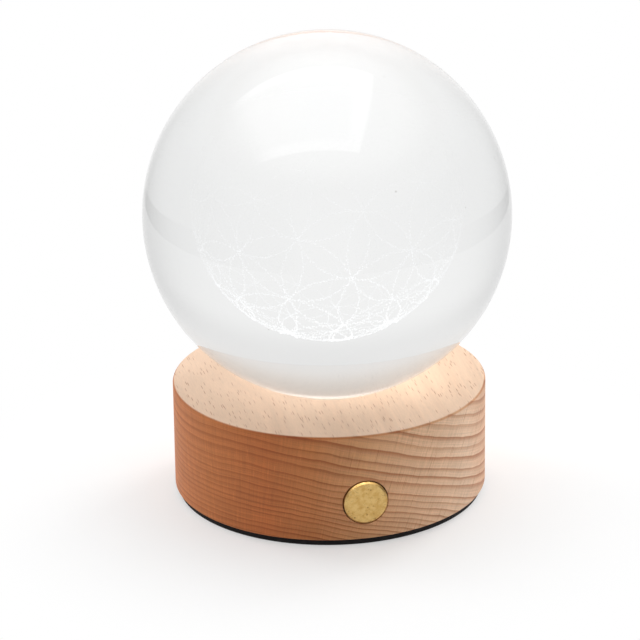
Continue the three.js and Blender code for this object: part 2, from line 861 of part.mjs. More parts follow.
function batteryPieces() {
  const cell = sheet(
    roundedOutline(batteryLength, batteryWidth, batteryCorner),
    batteryBottom,
    batteryTop,
    cornerSteps,
  );
  const tapeHalfLength = batteryLength / 2 - tapeMargin;
  const tapeHalfWidth = batteryWidth / 2 - tapeMargin;
  const tape = block(
    [-tapeHalfLength, -tapeHalfWidth, plateTop],
    [tapeHalfLength, tapeHalfWidth, batteryBottom],
  );
  const socket = block(
    [socketLeft, socketMiddle - socketWidth / 2, controlBoardTop],
    [socketLeft + socketLength, socketMiddle + socketWidth / 2, controlBoardTop + socketHeight],
  );
  const plug = block(
    [plugLeft, socketMiddle - plugWidth / 2, plugCentre - plugHeight / 2],
    [socketLeft, socketMiddle + plugWidth / 2, plugCentre + plugHeight / 2],
  );
  return [
    piece('battery_cell', cell.translate(0, batteryMiddle, 0), batteryFoil),
    piece('battery_tape', tape.translate(0, batteryMiddle, 0), blackFoam),
    piece('battery_socket', socket, whitePlastic),
    piece('battery_plug', plug, whitePlastic),
  ];
}

// A wire that leaves one face and meets another, each end square to its face
function wire(name, start, leaving, end, meeting, finish) {
  const first = new THREE.Vector3(...start);
  const last = new THREE.Vector3(...end);
  const path = new THREE.CubicBezierCurve3(
    first,
    first.clone().add(new THREE.Vector3(...leaving)),
    last.clone().add(new THREE.Vector3(...meeting)),
    last,
  );
  return piece(name, tubeAlong(path, wireDiameter / 2, wireSteps, wireSides), finish);
}

// Battery pair, bowed out beside the battery, one wire inside the other
function batteryWire(name, side, finish) {
  const offset = (side * wirePitch) / 2;
  const room = pocketRadius - batteryLength / 2;
  const bulge = [-room * batteryWireBulgeShare - offset, 0, 0];
  const start = [-batteryLength / 2, batteryMiddle - offset, (batteryBottom + batteryTop) / 2];
  const end = [plugLeft, socketMiddle + offset, plugCentre];
  return wire(name, start, bulge, end, bulge, finish);
}

// Lamp pair, from the lamp board's underside down to the control board
function lampWire(name, side, finish) {
  const across = (side * wirePitch) / 2;
  const start = [across, frontRow - lampWireSetback, lampBoardBottom];
  const end = [across, frontRow, controlBoardTop];
  return wire(name, start, [0, 0, -lampWireBend], end, [0, 0, lampWireBend], finish);
}

// Switch pair, over the battery to the control board
function switchWire(name, side, finish) {
  const offset = (side * wirePitch) / 2;
  const height = (batteryTop + lampBoardBottom - screwHeadHeight) / 2;
  const start = [offset, switchBoardRear, height];
  const end = [controlBoardWidth / 2 - switchWireEdge + offset, frontRow, controlBoardTop];
  return wire(name, start, [0, switchWireRun, 0], end, [0, 0, switchWireDrop], finish);
}

function wires() {
  return [
    batteryWire('battery_wire_red', -1, redInsulation),
    batteryWire('battery_wire_black', 1, blackInsulation),
    lampWire('led_wire_red', -1, redInsulation),
    lampWire('led_wire_black', 1, blackInsulation),
    switchWire('switch_wire_red', -1, redInsulation),
    switchWire('switch_wire_black', 1, blackInsulation),
  ];
}

// Uprights on the bottom plate, each sunk into the plate to its middle
const uprightFoot = woodBottom + plateThickness / 2;

function slotPosts() {
  const front = switchBoardRear - switchBoardThickness - restGap - slotPostWall;
  return [-1, 1].map((side) => {
    const edge = (side * switchBoardWidth) / 2;
    return block(
      [edge - slotGrip, front, uprightFoot],
      [edge + slotGrip, slotPostRear, plateTop + slotPostHeight],
    );
  });
}

function switchBoardSlot() {
  const half = switchBoardWidth / 2 + restGap;
  return block(
    [-half, switchBoardRear - switchBoardThickness - restGap, plateTop],
    [half, switchBoardRear + restGap, plateTop + slotPostHeight + overrun],
  );
}

function cradleRibs() {
  const reach = batteryWidth / 2 + dropInGap;
  return [-1, 1].map((side) => {
    const inner = batteryMiddle + side * reach;
    const outer = inner + side * cradleWall;
    return block(
      [-cradleLength / 2, Math.min(inner, outer), uprightFoot],
      [cradleLength / 2, Math.max(inner, outer), plateTop + cradleHeight],
    );
  });
}

function standoffs() {
  return controlScrewPlaces.map(({ x, y }) => (
    bar(standoffDiameter / 2, uprightFoot, controlBoardBottom, boreSegments).translate(x, y, 0)
  ));
}

function standoffPilots() {
  return controlScrewPlaces.map(({ x, y }) => (
    bar(pilotRadius, plateTop, controlBoardBottom + overrun, screwSegments).translate(x, y, 0)
  ));
}

function bottomPlate() {
  const plate = bar(rebateRadius - dropInGap, woodBottom, plateTop, bodySegments);
  const countersinks = plateScrewPlaces.map(({ x, y }) => (
    countersink().rotateX(Math.PI).translate(x, y, woodBottom)
  ));
  const uprights = [...slotPosts(), ...cradleRibs(), ...standoffs()];
  const cutters = [switchBoardSlot(), ...standoffPilots(), ...countersinks];
  return piece('bottom_plate', carved(plate, cutters, uprights), blackPlastic);
}

function plateScrews() {
  return plateScrewPlaces.map(({ x, y }, index) => {
    const screw = piece(`plate_screw_${index + 1}`, countersunkScrew(), brightSteel);
    screw.position.set(x, y, woodBottom);
    screw.rotation.x = Math.PI;
    return screw;
  });
}

const lamp = new THREE.Group();
lamp.name = 'crystal_ball_lamp';
lamp.add(
  crystalBall(),
  woodBase(),
  footPad(),
  ...lightStack(),
  buttonPieces(),
  switchBoard(),
  portPieces(),
  ...controlPieces(),
  ...batteryPieces(),
  ...wires(),
  bottomPlate(),
  ...plateScrews(),
);

export default lamp;
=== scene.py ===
"""Looks of the crystal ball lamp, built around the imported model."""

import json
import logging
import math
import random
from dataclasses import dataclass, field
from enum import Enum
from typing import Protocol

import bmesh
import bpy
from mathutils import Euler, Matrix, Vector


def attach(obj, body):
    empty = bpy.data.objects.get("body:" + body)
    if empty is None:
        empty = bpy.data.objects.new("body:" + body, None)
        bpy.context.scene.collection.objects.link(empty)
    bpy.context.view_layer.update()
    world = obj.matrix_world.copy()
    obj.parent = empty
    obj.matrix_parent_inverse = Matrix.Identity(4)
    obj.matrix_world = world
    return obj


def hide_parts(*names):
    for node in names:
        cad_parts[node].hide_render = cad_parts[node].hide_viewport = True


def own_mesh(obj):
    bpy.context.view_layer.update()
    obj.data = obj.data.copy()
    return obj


log = logging.getLogger("crystal_ball_lamp")

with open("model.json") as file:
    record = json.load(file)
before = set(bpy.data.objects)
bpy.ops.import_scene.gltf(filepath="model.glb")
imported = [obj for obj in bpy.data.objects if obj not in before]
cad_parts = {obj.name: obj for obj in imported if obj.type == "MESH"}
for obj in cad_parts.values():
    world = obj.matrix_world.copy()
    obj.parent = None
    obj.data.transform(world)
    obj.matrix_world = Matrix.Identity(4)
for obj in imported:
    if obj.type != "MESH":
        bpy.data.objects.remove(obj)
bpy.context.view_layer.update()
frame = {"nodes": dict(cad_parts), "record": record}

# Pieces, floor and patterns are in millimetres, and each mesh is scaled by this at its end.
# Camera and lamps are in metres.
MILLIMETRE = 0.001
# Points closer together than this are merged
JOINED = 0.0005
# An edge belongs to a rim when its ends lie this near to it
RIM_TOLERANCE = 0.01
# A face whose normal is steeper than this lies level and is shaded flat
LEVEL = 0.9999
# Edges that turn more than this stay sharp
SHARP = math.radians(32)
QUARTER_TURN = math.pi / 2
FULL_TURN = 2 * math.pi
# Noise lies evenly about this
MIDDLE = 0.5

Colour = tuple[float, float, float, float]
Triple = tuple[float, float, float]
Range = tuple[float, float]
Profile = list[tuple[float, float]]

# The curve from a screen's levels to linear light: straight in the darks, then a power
FULL_LEVEL = 255
DARK_END, DARK_SLOPE = 0.04045, 12.92
CURVE_OFFSET, CURVE_POWER = 0.055, 2.4


def tone(red: int, green: int, blue: int) -> Colour:
    """A colour as a screen shows it, turned into the linear one that shaders use.

    Args:
        red: Red from 0 to 255.
        green: Green from 0 to 255.
        blue: Blue from 0 to 255.

    Returns:
        The linear colour with full alpha.
    """
    channels = []
    for level in (red, green, blue):
        share = level / FULL_LEVEL
        curved = ((share + CURVE_OFFSET) / (1 + CURVE_OFFSET)) ** CURVE_POWER
        channels.append(share / DARK_SLOPE if share <= DARK_END else curved)
    return (*channels, 1.0)


WHITE = (1.0, 1.0, 1.0, 1.0)
BLACK = (0.0, 0.0, 0.0, 1.0)


def even(size: float) -> Triple:
    """A size that is the same all three ways."""
    return (size, size, size)


class Body(Enum):
    """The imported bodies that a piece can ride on."""

    BASE = "base"
    BALL = "ball"
    BUTTON = "button"


class Slot(Enum):
    """The record's material slots."""

    CRYSTAL = "crystal"
    BEECH = "beech"
    FOAM_BLACK = "foam_black"
    OPAL_PLASTIC = "opal_plastic"
    WHITE_PLASTIC = "white_plastic"
    BOARD_WHITE = "board_white"
    LAMP_WARM = "lamp_warm"
    STEEL = "steel"
    SPRING_STEEL = "spring_steel"
    BRASS = "brass"
    NYLON_BLACK = "nylon_black"
    PLASTIC_BLACK = "plastic_black"
    CHIP_BLACK = "chip_black"
    FERRITE = "ferrite"
    CERAMIC_TAN = "ceramic_tan"
    BOARD_GREEN = "board_green"
    BATTERY_FOIL = "battery_foil"
    WIRE_RED = "wire_red"
    WIRE_BLACK = "wire_black"


class Ray(Enum):
    """The kinds of ray that a material or the world can tell apart."""

    CAMERA = "Is Camera Ray"
    SHADOW = "Is Shadow Ray"
    GLOSSY = "Is Glossy Ray"
    REFLECTION = "Is Reflection Ray"
    TRANSMISSION = "Is Transmission Ray"


@dataclass(frozen=True)
class Grain:
    """Soft noise: its blotches' sizes, how many finer layers it has, and which noise it is."""

    cell: Triple
    detail: float = 2.0
    seed: float = 0.0


@dataclass(frozen=True)
class Specks:
    """Spots, one to a cell: their reach in cells and how much fainter the faintest is."""

    cell: Triple
    radius: float
    uneven: float = 0.0
    heart_share: float = 0.5


class Term:
    """One shader value that Python's arithmetic signs work on."""

    def __init__(self, recipe: "Recipe", socket: bpy.types.NodeSocket) -> None:
        """Wraps an output socket of a recipe's tree."""
        self.recipe = recipe
        self.socket = socket

    def maths(self, operation: str, *values: "Term | float") -> "Term":
        """A Math node's result, from the inputs given in order."""
        sockets = dict(enumerate(values))
        return self.recipe.node("ShaderNodeMath", {"operation": operation}, sockets)

    def __add__(self, other: "Term | float") -> "Term":
        """This plus another."""
        return self.maths("ADD", self, other)

    __radd__ = __add__

    def __sub__(self, other: "Term | float") -> "Term":
        """This minus another."""
        return self.maths("SUBTRACT", self, other)

    def __rsub__(self, other: "Term | float") -> "Term":
        """Another minus this."""
        return self.maths("SUBTRACT", other, self)

    def __mul__(self, other: "Term | float") -> "Term":
        """This times another."""
        return self.maths("MULTIPLY", self, other)

    __rmul__ = __mul__

    def __truediv__(self, other: "Term | float") -> "Term":
        """This divided by another."""
        return self.maths("DIVIDE", self, other)

    def __pow__(self, other: "Term | float") -> "Term":
        """This to a power."""
        return self.maths("POWER", self, other)

    def fraction(self) -> "Term":
        """The part after the decimal point."""
        return self.maths("FRACT", self)

    def whole(self) -> "Term":
        """The part before the decimal point."""
        return self.maths("FLOOR", self)

    def ease(self, start: float, end: float) -> "Term":
        """A soft step.

        Args:
            start: Where it is 0.
            end: Where it is 1; it may be the smaller.

        Returns:
            The step's height.
        """
        settings = {"interpolation_type": "SMOOTHSTEP"}
        low, high = min(start, end), max(start, end)
        sockets = {0: self, 1: low, 2: high, 3: float(start > end), 4: float(start < end)}
        return self.recipe.node("ShaderNodeMapRange", settings, sockets)


Spot = tuple[Term, Term, Term]


class Recipe:
    """The node tree of one material, or of the surroundings."""

    def __init__(self, name: str, surroundings: bool = False) -> None:
        """Starts a material or a world with an empty tree.

        Args:
            name: Its name.
            surroundings: Whether it is a world.
        """
        kind = bpy.data.worlds if surroundings else bpy.data.materials
        self.output = "ShaderNodeOutputWorld" if surroundings else "ShaderNodeOutputMaterial"
        self.owner = kind.new(name)
        self.owner.use_nodes = True
        self.tree = self.owner.node_tree
        self.tree.nodes.clear()

    def node(self, kind: str, settings: dict, sockets: dict, output: int | str = 0) -> Term | None:
        """Adds any node.

        Args:
            kind: The node's type.
            settings: Its own settings, set first; "stops" fills a ramp with (place, colour).
            sockets: A value or a Term for each input, by index or name.
            output: The output wanted.

        Returns:
            The output as a Term, or None from a node that has none.
        """
        made = self.tree.nodes.new(kind)
        for name, value in settings.items():
            if name == "stops":
                self._fill_ramp(made.color_ramp, value)
            else:
                setattr(made, name, value)
        for name, value in sockets.items():
            if isinstance(value, Term):
                self.tree.links.new(value.socket, made.inputs[name])
            else:
                made.inputs[name].default_value = value
        return Term(self, made.outputs[output]) if made.outputs else None

    @staticmethod
    def _fill_ramp(ramp: bpy.types.ColorRamp, stops: tuple[tuple[float, Colour], ...]) -> None:
        """Puts stops on a ramp.

        Args:
            ramp: The ramp.
            stops: Each stop's place and colour.
        """
        while len(ramp.elements) < len(stops):
            ramp.elements.new(1.0)
        for element, (place, colour) in zip(ramp.elements, stops):
            element.position = place
            element.color = colour

    def ramp(self, stops: tuple[tuple[float, Colour], ...], share: Term) -> Term:
        """The colour of a ramp at a share of its length."""
        return self.node("ShaderNodeValToRGB", {"stops": stops}, {0: share})

    def cells(self, cell: Triple = (1.0, 1.0, 1.0), spot: Spot | None = None) -> Term:
        """A point counted in cells.

        Args:
            cell: The cell's sizes in millimetres.
            spot: The point in millimetres; without it, the point on the object.

        Returns:
            The point as a vector.
        """
        if spot:
            return self.vector(*(part * (1 / size) for part, size in zip(spot, cell)))
        point = self.node("ShaderNodeTexCoord", {}, {}, "Object")
        factors = tuple(1 / (MILLIMETRE * size) for size in cell)
        return self.node("ShaderNodeVectorMath", {"operation": "MULTIPLY"}, {0: point, 1: factors})

    def parts(self, vector: Term) -> Spot:
        """The three numbers of a vector."""
        split = self.node("ShaderNodeSeparateXYZ", {}, {0: vector})
        return tuple(Term(self, output) for output in split.socket.node.outputs)

    def vector(self, x: Term | float, y: Term | float, z: Term | float) -> Term:
        """A vector from three numbers."""
        return self.node("ShaderNodeCombineXYZ", {}, {0: x, 1: y, 2: z})

    def noise(self, grain: Grain, spot: Spot | None = None) -> Term:
        """Soft noise from 0 to 1.

        Args:
            grain: Its sizes.
            spot: The point in millimetres; without it, the point on the object.

        Returns:
            The noise.
        """
        sockets = {
            "Vector": self.cells(grain.cell, spot), "W": grain.seed, "Scale": 1.0,
            "Detail": grain.detail,
        }
        return self.node("ShaderNodeTexNoise", {"noise_dimensions": "4D"}, sockets)

    def spots(self, specks: Specks, spot: Spot | None = None) -> Term:
        """Spots scattered one to a cell.

        Args:
            specks: Their sizes.
            spot: The point in millimetres; without it, the point on the object.

        Returns:
            One on a strong spot and nought beside it.
        """
        sockets = {"Vector": self.cells(specks.cell, spot), "Scale": 1.0, "Randomness": 1.0}
        found = self.node("ShaderNodeTexVoronoi", {"feature": "F1"}, sockets, "Distance")
        chance = self.parts(Term(self, found.socket.node.outputs["Color"]))[0]
        faded = found.ease(specks.radius, specks.heart_share * specks.radius)
        return faded * (1 - chance * specks.uneven)

    def blend(self, share: Term | float, first: Term | Colour, second: Term | Colour) -> Term:
        """A mix with the given share of the second colour."""
        sockets = {0: share, 6: first, 7: second}
        return self.node("ShaderNodeMix", {"data_type": "RGBA"}, sockets, 2)

    def shaded(self, share: Term | float, colour: Term, shade: Term | Colour) -> Term:
        """A colour of which the given share is multiplied by a shade."""
        settings = {"data_type": "RGBA", "blend_type": "MULTIPLY"}
        return self.node("ShaderNodeMix", settings, {0: share, 6: colour, 7: shade}, 2)

    def bump(self, height: Term, depth: float) -> Term:
        """A normal bent by a height from 0 to 1 of the given depth in millimetres."""
        return self.node("ShaderNodeBump", {}, {"Height": height, "Distance": depth * MILLIMETRE})

    def path(self, *rays: Ray) -> Term:
        """Whether this is a ray of one of the given kinds.

        Args:
            rays: The kinds.

        Returns:
            One for such a ray and nought for others.
        """
        found = None
        for ray in rays:
            here = self.node("ShaderNodeLightPath", {}, {}, ray.value)
            found = found.maths("MAXIMUM", found, here) if found else here
        return found

    def principled(self, sockets: dict) -> Term:
        """A Principled shader with these sockets."""
        return self.node("ShaderNodeBsdfPrincipled", {}, sockets)

    def mixed(self, share: Term | float, first: Term, second: Term) -> Term:
        """A mix of two shaders."""
        return self.node("ShaderNodeMixShader", {}, {0: share, 1: first, 2: second})

    def done(self, shader: Term) -> bpy.types.Material | bpy.types.World:
        """Puts the shader on the surface and returns the material or world."""
        self.node(self.output, {}, {"Surface": shader})
        return self.owner


class Finish(Protocol):
    """Anything that makes a material."""

    def material(self) -> bpy.types.Material:
        """Makes the material."""


@dataclass(frozen=True)
class GlassFinish:
    """Clear polished crystal with a few specks of dust."""

    name: str = "clear_crystal"
    tint: Colour = (0.9, 0.905, 0.903, 1.0)
    dust_tint: Colour = (0.35, 0.33, 0.3, 1.0)
    passing: Colour = (0.25, 0.24, 0.22, 1.0)
    bending: float = 1.52
    dust: Specks = Specks(even(7.0), 0.03)

    def material(self) -> bpy.types.Material:
        """Makes the glass; lamps shine through it.

        Returns:
            The material.
        """
        recipe = Recipe(self.name)
        glass = recipe.principled({
            "Base Color": recipe.blend(recipe.spots(self.dust), self.tint, self.dust_tint),
            "Roughness": 0.0,
            "IOR": self.bending,
            "Transmission Weight": 1.0,
        })
        clear = recipe.node("ShaderNodeBsdfTransparent", {}, {"Color": self.passing})
        return recipe.done(recipe.mixed(recipe.path(Ray.SHADOW), glass, clear))


@dataclass(frozen=True)
class EngravingFinish:
    """Frosty dots inside the glass that glow by themselves: painted light standing in for the LED
    light from below.
    """

    name: str = "engraved_dots"
    painted_glow_stops: tuple[tuple[float, Colour], ...] = (
        (0.0, (1.16, 1.17, 1.18, 1.0)),
        (0.2, (1.07, 1.08, 1.09, 1.0)),
        (0.4, (0.99, 0.995, 1.0, 1.0)),
        (0.55, (0.95, 0.95, 0.95, 1.0)),
        (0.75, (0.93, 0.93, 0.93, 1.0)),
    )
    bottom: float = 56.5
    height: float = 49.0
    body_tint: Colour = tone(60, 62, 64)
    roughness: float = 0.7
    sparkle: Grain = Grain(even(1.0), 1.0)
    sparkle_depth: float = 0.2

    def material(self) -> bpy.types.Material:
        """Makes the dots' finish, its painted glow brightest at the bottom.

        Returns:
            The material.
        """
        recipe = Recipe(self.name)
        risen = (recipe.parts(recipe.cells())[2] - self.bottom) * (1 / self.height)
        # The dots' emission is painted light, brightest at the bottom and darkened at random by
        # the sparkle noise
        faded = recipe.ramp(self.painted_glow_stops, risen)
        sparkle = recipe.noise(self.sparkle) * self.sparkle_depth
        return recipe.done(recipe.principled({
            "Base Color": self.body_tint,
            "Roughness": self.roughness,
            "Emission Color": recipe.blend(sparkle, faded, BLACK),
            "Emission Strength": 1.0,
        }))


@dataclass(frozen=True)
class BeechFinish:
    """Turned beech: rings about a pith below the piece, rays, pores, and a side whose tone is
    partly the wood's own and partly painted shade and painted warm bounce light.
    """

    name: str = "beech"
    pith_x: float = -33.0
    pith_z: float = -108.0
    arc_radius: float = 140.0
    ring_radii: tuple[float, ...] = (
        108.0, 109.6, 110.9, 112.5, 113.8, 115.1, 116.7, 118.0, 119.4, 121.0, 122.3, 124.0,
        125.8, 127.6, 129.3, 132.7, 135.0, 137.4, 140.8, 143.6, 146.4, 149.5, 152.0, 155.2,
        158.0, 161.0,
    )
    slow_wave: Grain = Grain((28.0, 70.0, 28.0), 1.0)
    slow_wander: float = 4.0
    quick_wave: Grain = Grain((5.0, 30.0, 5.0), 2.0, 3.0)
    quick_wander: float = 0.7
    # Each year's darkness: its least and its spread, how it grows, its late wood and its end
    year_least: float = 0.65
    year_spread: float = 0.5
    year_power: float = 1.3
    late_share: float = 0.5
    late_range: Range = (0.5, 0.93)
    year_end: Range = (1.0, 0.95)
    rays: Specks = Specks((0.52, 7.2, 14.0), 0.25, 0.5)
    flecks: Specks = Specks((1.1, 4.0, 9.0), 0.17, 0.5)
    fibre: Grain = Grain((0.28, 7.0, 0.28), 3.0, 5.0)
    pores: Grain = Grain((0.14, 1.6, 0.14), 1.0, 7.0)
    cloud: Grain = Grain((9.0, 30.0, 9.0), 3.0, 9.0)
    layers: Grain = Grain((1 / 0.06, 1 / 0.03, 1 / 2.6), 2.0, 11.0)
    ranks: Grain = Grain((1 / 3.0, 1 / 0.4, 1 / 0.12), 1.0, 13.0)
    grain_weights: tuple[float, ...] = (0.2, 0.25, 0.26, 0.5, 0.36)
    side_range: Range = (42.45, 42.9)
    rim_range: Range = (31.0, 31.5)
    # The side's tone, partly the wood's own and partly painted shade and painted warm bounce
    # light, runs across the view, darker and more orange on the left; on the hidden half it is
    # even
    turned_to_view: float = math.radians(12.7)
    reach: float = 43.0
    shade_end: Range = (6.0, 36.0)
    hidden_share: float = 0.5
    tone_and_shade_stops: tuple[tuple[float, Colour], ...] = (
        (0.0, tone(190, 118, 69)),
        (0.12, tone(195, 118, 62)),
        (0.3, tone(204, 119, 62)),
        (0.45, tone(204, 132, 77)),
        (0.6, tone(216, 161, 113)),
        (0.8, tone(231, 191, 155)),
        (0.93, tone(228, 196, 167)),
        (1.0, tone(202, 159, 128)),
    )
    top_colour: Colour = tone(243, 211, 184)
    ring_shade: Colour = (0.6, 0.4, 0.3, 1.0)
    ray_shade: Colour = (0.48, 0.26, 0.13, 1.0)
    ray_glint: Colour = (1.3, 1.38, 1.5, 1.0)
    rim_shade: Colour = (0.86, 0.62, 0.42, 1.0)
    # How strong the marks are, and where along the tone they come in
    top_rings: float = 0.1
    left_rings: float = 0.55
    ring_rise: Range = (0.1, 0.6)
    pale_range: Range = (0.45, 0.6)
    pale_rays: float = 0.6
    ray_strength: float = 0.75
    glint_strength: float = 0.5
    rim_strength: float = 0.8
    rim_rise: Range = (0.1, 0.5)
    top_grain: float = 0.4
    pore_relief: float = 0.5
    ray_relief: float = 0.6
    ring_relief: float = 0.3
    relief: float = 0.05
    roughness: float = 0.52
    fibre_roughness: float = 0.16
    ray_roughness: float = 0.1
    bending: float = 1.45

    def material(self) -> bpy.types.Material:
        """Makes the wood.

        Returns:
            The material.
        """
        recipe = Recipe(self.name)
        x, y, z = recipe.parts(recipe.cells())
        spot = self._from_pith(recipe, x, y, z)
        side = x.maths("SQRT", x * x + y * y).ease(*self.side_range)
        share = self._along_painted_shade(x, y)
        # The side's colour is partly the wood's own tone and partly painted shade and painted warm
        # bounce light, darker and more orange to the left of the view
        bare_and_shaded = recipe.blend(side, self.top_colour, recipe.ramp(self.tone_and_shade_stops, share))
        rings = self._rings(recipe, spot[2]) * (side * (1 - self.top_rings) + self.top_rings)
        rings = rings * (share.ease(*self.ring_rise) * (1 - self.left_rings) + self.left_rings)
        pale = share.ease(*self.pale_range)
        rays = recipe.spots(self.rays, spot)
        dark_rays = rays * (1 - side * (1 - pale * self.pale_rays))
        # Ray flecks are lightened on the darker left of the view: a painted sheen
        glints = recipe.spots(self.flecks, spot) * side * (1 - pale)
        rim = side * z.ease(*self.rim_range) * share.ease(*self.rim_rise)
        marked = recipe.shaded(rings, bare_and_shaded, self.ring_shade)
        marked = recipe.shaded(dark_rays * self.ray_strength, marked, self.ray_shade)
        marked = recipe.shaded(glints * self.glint_strength, marked, self.ray_glint)
        marked = recipe.shaded(rim * self.rim_strength, marked, self.rim_shade)
        uneven, fibre, pores = self._grain(recipe, spot)
        grain = uneven * (side * (1 - self.top_grain) + self.top_grain) + 1.0
        height = (pores + fibre) * self.pore_relief - dark_rays * self.ray_relief
        rough = fibre * self.fibre_roughness + rays * self.ray_roughness + self.roughness
        return recipe.done(recipe.principled({
            "Base Color": recipe.shaded(1.0, marked, recipe.vector(grain, grain, grain)),
            "Roughness": rough,
            "IOR": self.bending,
            "Normal": recipe.bump(height - rings * self.ring_relief, self.relief),
        }))

    def _from_pith(self, recipe: Recipe, x: Term, y: Term, z: Term) -> Spot:
        """A point as the tree grew it.

        Args:
            recipe: The wood's tree of nodes.
            x: The point on the piece, to the right.
            y: The point on the piece, to the back.
            z: The point on the piece, upwards.

        Returns:
            How far it lies round the pith, along the grain and out from the pith.
        """
        across, up = x - self.pith_x, z - self.pith_z
        radius = across.maths("SQRT", across * across + up * up)
        waves = ((self.slow_wave, self.slow_wander), (self.quick_wave, self.quick_wander))
        for wave, wander in waves:
            radius = radius + (recipe.noise(wave) - MIDDLE) * wander
        return across.maths("ARCTAN2", across, up) * self.arc_radius, y, radius

    def _along_painted_shade(self, x: Term, y: Term) -> Term:
        """How far across the view a point lies, which sets the side's tone and painted shade.

        Args:
            x: The point on the piece, to the right.
            y: The point on the piece, to the back.

        Returns:
            The share from the left of the view to its right.
        """
        cosine, sine = math.cos(self.turned_to_view), math.sin(self.turned_to_view)
        across_view = (x * cosine - y * sine + self.reach) * (1 / (2 * self.reach))
        hidden = (x * sine + y * cosine).ease(*self.shade_end)
        return across_view + (self.hidden_share - across_view) * hidden

    def _rings(self, recipe: Recipe, radius: Term) -> Term:
        """How dark each year's wood is.

        Args:
            recipe: The wood's tree of nodes.
            radius: The distance to the pith.

        Returns:
            About one in the darkest late wood, and nought where a year starts.
        """
        first, last = self.ring_radii[0], self.ring_radii[-1]
        count = len(self.ring_radii) - 1
        stops = []
        for index, ring in enumerate(self.ring_radii):
            level = index / count
            stops.append(((ring - first) / (last - first), (level, level, level, 1.0)))
        year = recipe.ramp(stops, (radius - first) * (1 / (last - first))) * count
        passed = year.fraction()
        chance = recipe.node(
            "ShaderNodeTexWhiteNoise", {"noise_dimensions": "1D"}, {"W": year.whole()},
        )
        late = passed.ease(*self.late_range) * self.late_share
        shaded = passed ** self.year_power * (1 - self.late_share) + late
        strength = chance * self.year_spread + self.year_least
        return shaded * passed.ease(*self.year_end) * strength

    def _grain(self, recipe: Recipe, spot: Spot) -> Spot:
        """The fine unevenness of the wood.

        Args:
            recipe: The wood's tree of nodes.
            spot: The point as the tree grew it.

        Returns:
            Its shade about nought, its fibres and its pores.
        """
        parts = [recipe.noise(grain) for grain in (self.fibre, self.pores, self.cloud)]
        parts += [recipe.noise(grain, spot) for grain in (self.layers, self.ranks)]
        shade = sum((part - MIDDLE) * weight for part, weight in zip(parts, self.grain_weights))
        return shade, parts[0], parts[1]


@dataclass(frozen=True)
class BrassFinish:
    """Satin brass with small tarnish specks."""

    name: str = "satin_brass"
    colour: Colour = tone(216, 182, 118)
    worn: Colour = tone(200, 160, 94)
    dark: Colour = tone(142, 110, 70)
    fine: Specks = Specks(even(0.55), 0.36, 0.6)
    fine_strength: float = 0.6
    coarse: Specks = Specks(even(1.1), 0.28, 0.7)
    patches: Grain = Grain(even(3.4), 2.0, 1.0)
    patch_range: Range = (0.4, 0.55)
    clouds: Grain = Grain(even(1.2), 3.0, 2.0)
    cloud_range: Range = (0.35, 0.7)
    satin: Grain = Grain(even(0.05), 1.0, 4.0)
    speck_strength: float = 0.65
    speck_roughness: float = 0.3
    cloud_roughness: float = 0.12
    roughness: float = 0.3
    relief: float = 0.012

    def material(self) -> bpy.types.Material:
        """Makes the brass.

        Returns:
            The material.
        """
        recipe = Recipe(self.name)
        fine = recipe.spots(self.fine) * self.fine_strength
        specks = fine.maths("MAXIMUM", fine, recipe.spots(self.coarse))
        specks = specks * recipe.noise(self.patches).ease(*self.patch_range)
        cloudy = recipe.noise(self.clouds)
        metal = recipe.blend(cloudy.ease(*self.cloud_range), self.colour, self.worn)
        rough = specks * self.speck_roughness + cloudy * self.cloud_roughness + self.roughness
        return recipe.done(recipe.principled({
            "Base Color": recipe.blend(specks * self.speck_strength, metal, self.dark),
            "Metallic": 1.0,
            "Roughness": rough,
            "Normal": recipe.bump(recipe.noise(self.satin) - specks, self.relief),
        }))


@dataclass(frozen=True)
class FoamFinish:
    """Closed-cell black foam with a fine matt skin."""

    name: str = "black_foam"
    colour: Colour = tone(30, 29, 30)
    pale: Colour = tone(58, 56, 55)
    cells: Specks = Specks(even(0.9), 0.6, 0.5)
    dust: Grain = Grain(even(3.0), 4.0)
    dust_range: Range = (0.4, 0.8)
    dust_strength: float = 0.6
    roughness: float = 0.9
    shine: float = 0.25
    relief: float = 0.04

    def material(self) -> bpy.types.Material:
        """Makes the foam.

        Returns:
            The material.
        """
        recipe = Recipe(self.name)
        dust = recipe.noise(self.dust).ease(*self.dust_range) * self.dust_strength
        return recipe.done(recipe.principled({
            "Base Color": recipe.blend(dust, self.colour, self.pale),
            "Roughness": self.roughness,
            "Specular IOR Level": self.shine,
            "Normal": recipe.bump(recipe.spots(self.cells), self.relief),
        }))


@dataclass(frozen=True)
class PlasticFinish:
    """Moulded plastic, epoxy or ceramic with a fine grain."""

    name: str
    colour: Colour
    roughness: float = 0.5
    grain: float = 0.25
    relief: float = 0.01
    variation: float = 0.12
    glow: float = 0.0
    glow_colour: Colour = WHITE
    glow_variation: float = 0.2
    rough_spread: float = 0.2
    broad: Grain = Grain(even(6.0), 3.0, 2.0)

    def material(self) -> bpy.types.Material:
        """Makes the plastic.

        Returns:
            The material.
        """
        recipe = Recipe(self.name)
        fine = recipe.noise(Grain(even(self.grain)))
        broad = recipe.noise(self.broad)
        sockets = {
            "Base Color": recipe.blend(broad * self.variation, self.colour, BLACK),
            "Roughness": fine * self.rough_spread + (self.roughness - self.rough_spread / 2),
            "Normal": recipe.bump(fine, self.relief),
        }
        if self.glow:
            glow = recipe.blend(broad * self.glow_variation, self.glow_colour, BLACK)
            sockets |= {"Emission Color": glow, "Emission Strength": self.glow}
        return recipe.done(recipe.principled(sockets))


